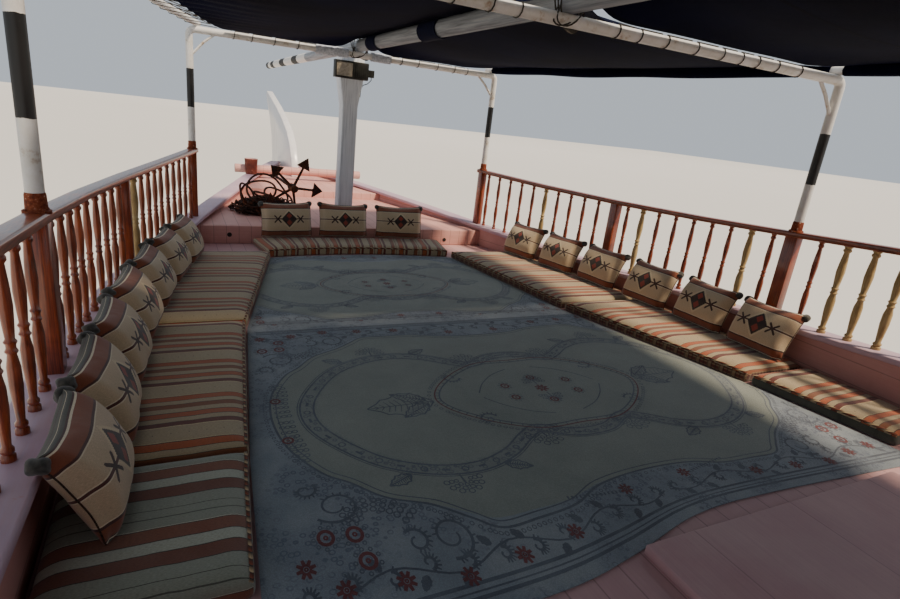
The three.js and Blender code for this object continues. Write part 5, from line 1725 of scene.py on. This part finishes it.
def star_flower(red, x, y, radius):
    for spot in range(8):
        t = 2 * pi * spot / 8 + 0.2
        out = Vector((cos(t), sin(t)))
        petal = [Vector((x, y)) + out * radius * 0.3, Vector((x, y)) + out * radius]
        stroke(red, petal, radius * 0.42, taper=0.5)
    stroke(red, circle(x, y, radius * 0.16, 8), radius * 0.16, closed=True)


def palmette(drawing, x, y, radius, turn):
    """A fan of scales, each row smaller than the last, on a short stalk."""
    for row, reach in enumerate((1.0, 0.72, 0.44)):
        for spot in range(7 - row):
            t = turn + pi * (spot / (6 - row) - 0.5)
            scale = circle(
                x + radius * reach * cos(t), y + radius * reach * sin(t),
                radius * 0.17 * (1 - 0.15 * row), 9)
            stroke(drawing, scale, 0.006, closed=True)
    stalk = [Vector((x - radius * k * cos(turn), y - radius * k * sin(turn))) for k in (-0.3, 0.1, 0.5)]
    stroke(drawing, stalk, 0.012, taper=0.4)


def bubble_band(drawing, line, rows, size):
    """Rows of small rings side by side along a line, like scales."""
    for row in range(rows):
        moved = offset_line(line, (row - (rows - 1) / 2) * size * 1.7)[1:-1]
        gone = 0.0
        for before, spot in zip(moved, moved[1:]):
            gone += (spot - before).length
            if gone > size * 1.8:
                gone = 0.0
                stroke(drawing, circle(spot.x, spot.y, size * 0.78, 8), size * 0.38, closed=True)


def leaf(drawing, x, y, long, wide, turn):
    """A pointed leaf in outline, with a vein and scales inside it."""
    ahead, across = Vector((cos(turn), sin(turn))), Vector((-sin(turn), cos(turn)))
    foot = Vector((x, y))
    for side in (-1, 1):
        edge = [foot + ahead * long * k / 12 + across * side * wide * sin(pi * (k / 12) ** 0.8)
                * (1 + 0.16 * cos(k * 2.1)) for k in range(13)]
        stroke(drawing, edge, 0.009)
        for k in range(1, 11):
            vein = foot + ahead * long * k / 12
            stroke(drawing, [vein, vein + (edge[min(k + 1, 12)] - vein) * 0.7], 0.006, taper=0.4)
    stroke(drawing, [foot, foot + ahead * long * 0.95], 0.008, taper=0.4)


# The drawing, from the middle out to one corner: the other three are its mirror images.
# Its long lines are given for that quarter, as distances from the drawing's centre.
RING = [
    (0.0, 0.52), (0.14, 0.5), (0.3, 0.42), (0.42, 0.47), (0.58, 0.58), (0.78, 0.645), (1.0, 0.62),
    (1.22, 0.5), (1.38, 0.3), (1.47, 0.1)]
FIELD_EDGE = [
    (0.0, 0.91), (0.3, 0.93), (0.5, 0.99), (0.72, 1.0), (0.9, 1.0), (1.0, 0.93), (1.12, 0.84), (1.3, 0.74),
    (1.42, 0.6), (1.52, 0.5), (1.62, 0.3), (1.66, 0.1)]
MEDALLION = [(0.0, 0.4), (0.25, 0.4), (0.45, 0.31), (0.62, 0.17), (0.7, 0.05)]
CURL_GARLAND = [(0.1, 0.3), (0.24, 0.24), (0.36, 0.14), (0.44, 0.03)]


def whole(quarter, steps=7):
    """A closed line from a quarter of it, mirrored left to right and top to bottom."""
    right = quarter + [(x, -y) for x, y in reversed(quarter)]
    left = [(-x, -y) for x, y in quarter[1:]] + [(-x, y) for x, y in reversed(quarter[1:])]
    return smooth_path(right + left, steps, closed=True)


def draw_carpet(half_long):
    """The strips of a whole carpet's drawing round (0, 0), in blue and in red."""
    blue, red = [], []
    ring = whole(RING)
    for away, width in ((-0.036, 0.01), (0.036, 0.01), (0.05, 0.005)):
        stroke(blue, offset_line(ring, away), width, closed=True)
    for spot in range(0, len(ring), 3):
        if spot % 6:
            stroke(blue, circle(ring[spot].x, ring[spot].y, 0.017, 8), 0.007, closed=True)
        else:
            run = (ring[(spot + 1) % len(ring)] - ring[spot - 1]).normalized() * 0.02
            stroke(blue, [ring[spot] - run, ring[spot] + run], 0.016, taper=0.5)
    edge = whole(FIELD_EDGE)
    for away, width in ((0.0, 0.011), (-0.03, 0.006)):
        stroke(blue, offset_line(edge, away), width, closed=True)
    bubble_band(blue, offset_line(edge, 0.028), 1, 0.011)
    medallion = whole(MEDALLION)
    stroke(blue, medallion, 0.009, closed=True)
    stroke(red, offset_line(medallion, 0.028), 0.008, closed=True)
    for spot in range(0, len(medallion), 2):
        run = (medallion[(spot + 1) % len(medallion)] - medallion[spot - 1]).normalized()
        tooth = [medallion[spot], medallion[spot] + Vector((run.y, -run.x)) * -0.026]
        stroke(blue, tooth, 0.008, taper=0.3)
    bubble_band(blue, offset_line(medallion, 0.062), 1, 0.013)
    for number in range(6):
        t = pi / 3 * number + 0.5
        red_ring_flower(blue, red, 0.27 * cos(t), 0.15 * sin(t), 0.03)
    star_flower(red, 0, 0, 0.045)
    palmette(blue, 0, 0.09, 0.07, pi / 2)
    palmette(blue, 0, -0.09, 0.07, -pi / 2)
    for right in (-1, 1):
        leaf(blue, right * 0.76, 0, 0.4, 0.12, 0 if right > 0 else pi)
        leaf(blue, right * 0.8, 0.02, 0.22, 0.05, 0.55 if right > 0 else pi - 0.55)
        leaf(blue, right * 0.8, -0.02, 0.22, 0.05, -0.55 if right > 0 else pi + 0.55)
        for up in (-1, 1):
            blues, reds = [], []
            line = smooth_path(CURL_GARLAND)
            stroke(blues, line, 0.007)
            comb_scroll(blues, 0.53, 0.26, 0.06, 3.4, 1, 1.1)
            # the cusps of the ring carry palmettes, and a flower hangs under each lobe
            palmette(blues, 0.31, 0.47, 0.1, 1.75)
            palmette(blues, 0.92, 0.72, 0.085, 1.6)
            leaf(blues, 0.66, 0.66, 0.14, 0.035, 2.7)
            leaf(blues, 1.14, 0.62, 0.13, 0.035, 0.4)
            # the corner: two toothed curls, a band of scales between them, and flowers
            comb_scroll(blues, 1.52, 0.73, 0.105, 0.6, 1, 1.35)
            comb_scroll(blues, 1.62, 0.6, 0.05, 3.9, -1, 1.1)
            comb_scroll(blues, 1.13, 0.98, 0.095, 1.2, 1, 1.35)
            comb_scroll(blues, 1.27, 0.97, 0.055, 5.4, -1, 1.1)
            bubble_band(blues, smooth_path([(1.22, 0.9), (1.3, 0.8), (1.42, 0.76), (1.5, 0.83)]), 3, 0.017)
            bubble_band(blues, smooth_path([(1.6, 0.42), (1.58, 0.3), (1.6, 0.15), (1.6, 0.0)]), 3, 0.016)
            for x, y, size in (
                    (1.6, 0.88, 0.035), (1.49, 0.89, 0.036), (1.48, 1.0, 0.036), (1.62, 0.2, 0.03)):
                red_ring_flower(blues, reds, x, y, size)
            for x, y in (
                    (1.7, 0.98), (1.59, 1.08), (1.38, 1.1), (1.15, 1.14), (0.9, 1.12), (0.2, 1.0),
                    (0.62, 1.1)):
                star_flower(reds, x, y, 0.036)
            # the border: a vine with curls, leaves and bars, then two lines by the edge
            vine = [Vector((0.02 + 0.05 * k, 1.085 + 0.035 * sin(0.62 * k))) for k in range(36)]
            stroke(blues, vine, 0.008)
            for k in range(1, 36, 3):
                bend = 1 if sin(0.62 * k) > 0 else -1
                comb_scroll(blues, vine[k].x, vine[k].y - bend * 0.036, 0.03, 1.57 * bend, bend, 0.9)
                leaf(blues, vine[k].x + 0.03, vine[k].y + bend * 0.01, 0.055, 0.014, 0.9 * bend)
            for k in range(14):
                middle = Vector((0.24 + 0.021 * k, 0.995 - 0.004 * k))
                stroke(blues, [middle, middle + Vector((0.004, 0.016))], 0.011, taper=0.6)
            for drawing, quarter in ((blue, blues), (red, reds)):
                for strip in quarter:
                    drawing.append(tuple(Vector((right * spot.x, up * spot.y)) for spot in strip))
    for away, width in ((0.102, 0.013), (0.077, 0.006), (0.056, 0.013)):
        for up in (-1, 1):
            level = up * (half_long - away)
            stroke(blue, [Vector((-2 + 0.1 * k, level)) for k in range(41)], width)
    return blue, red


def edge_distance(line, x, y):
    """Distance inside a closed line, negative outside it."""
    nearest, inside = 9.0, False
    for (ax, ay), (bx, by) in zip(line, line[1:] + line[:1]):
        dx, dy = bx - ax, by - ay
        share = min(1, max(0, ((x - ax) * dx + (y - ay) * dy) / (dx * dx + dy * dy)))
        nearest = min(nearest, hypot(x - ax - share * dx, y - ay - share * dy))
        if (ay > y) != (by > y) and x < ax + (y - ay) * dx / dy:
            inside = not inside
    return nearest if inside else -nearest


for label, edges, aft_end, fore_end, centre, scale, seed in CARPETS:
    aft, fore = edges[0][0], edges[-1][0]
    aft_line = [tuple(spot) for spot in smooth_path(aft_end)]
    fore_line = [tuple(spot) for spot in smooth_path(fore_end)]
    carpet = begin("grid", f"carpet_{label}_pile", x_subdivisions=110, y_subdivisions=90, size=2)
    field = carpet.data.attributes.new("field", "FLOAT", "POINT")
    ring = carpet.data.attributes.new("ring", "FLOAT", "POINT")
    field_line = [tuple(spot) for spot in whole(FIELD_EDGE, 2)]
    ring_line = [tuple(spot) for spot in whole(RING, 2)]
    for vertex in carpet.data.vertices:
        a, b = (vertex.co.x + 1) / 2, (vertex.co.y + 1) / 2
        y = read_table(aft_line, a, 1) * (1 - b) + read_table(fore_line, a, 1) * b
        left, right = read_table(edges, y, 1), read_table(edges, y, 2)
        x = left + (right - left) * a
        vertex.co = Vector((x, y, carpet_rise(x, y, seed)))
        drawn_x, drawn_y = (x - centre[0]) / scale, (y - centre[1]) / scale
        field.data[vertex.index].value = edge_distance(field_line, drawn_x, drawn_y)
        ring.data[vertex.index].value = edge_distance(ring_line, drawn_x, drawn_y)
    worked(carpet, "SOLIDIFY", thickness=GROUND_LIFT - 0.001, offset=1)
    settle(carpet, ground_pile, [f"carpet_{label}"], smooth=60)

    def on_carpet(spot):
        """The place of a point of the drawing, moved with the ends it is near, or None off the carpet."""
        x, y = centre[0] + spot.x * scale, centre[1] + spot.y * scale
        left, right = read_table(edges, y, 1), read_table(edges, y, 2)
        across = (x - left) / (right - left)
        aft_y, fore_y = read_table(aft_line, across, 1), read_table(fore_line, across, 1)
        near_aft, near_fore = max(0.0, 1 - (y - aft) / 0.45), max(0.0, 1 - (fore - y) / 0.45)
        y += (aft_y - aft) * near_aft + (fore_y - fore) * near_fore
        if aft_y + 0.015 < y < fore_y - 0.015 and left + 0.02 < x < right - 0.02:
            return x, y
        return None

    strips = draw_carpet(((fore - aft) / 2 - abs((aft + fore) / 2 - centre[1])) / scale)
    for strips_of, pile, ink, rise in zip(strips, (blue_pile, red_pile), ("blue", "red"), (0.0006, 0.0011)):
        shell = bmesh.new()
        for strip in strips_of:
            places = [on_carpet(spot) for spot in strip]
            if None not in places:
                shell.faces.new([
                    shell.verts.new((x, y, carpet_rise(x, y, seed) + GROUND_LIFT - 0.001 + rise))
                    for x, y in places])
        bmesh.ops.remove_doubles(shell, verts=shell.verts, dist=0.0001)
        for face in shell.faces:
            face.normal_update()
            if face.normal.z < 0:
                face.normal_flip()
        mesh = bpy.data.meshes.new(f"carpet_{label}_{ink}")
        shell.to_mesh(mesh)
        shell.free()
        settle(new_piece(f"carpet_{label}_{ink}_drawing", mesh), pile)
    long = max(spot[1] for spot in fore_line) - min(spot[1] for spot in aft_line)
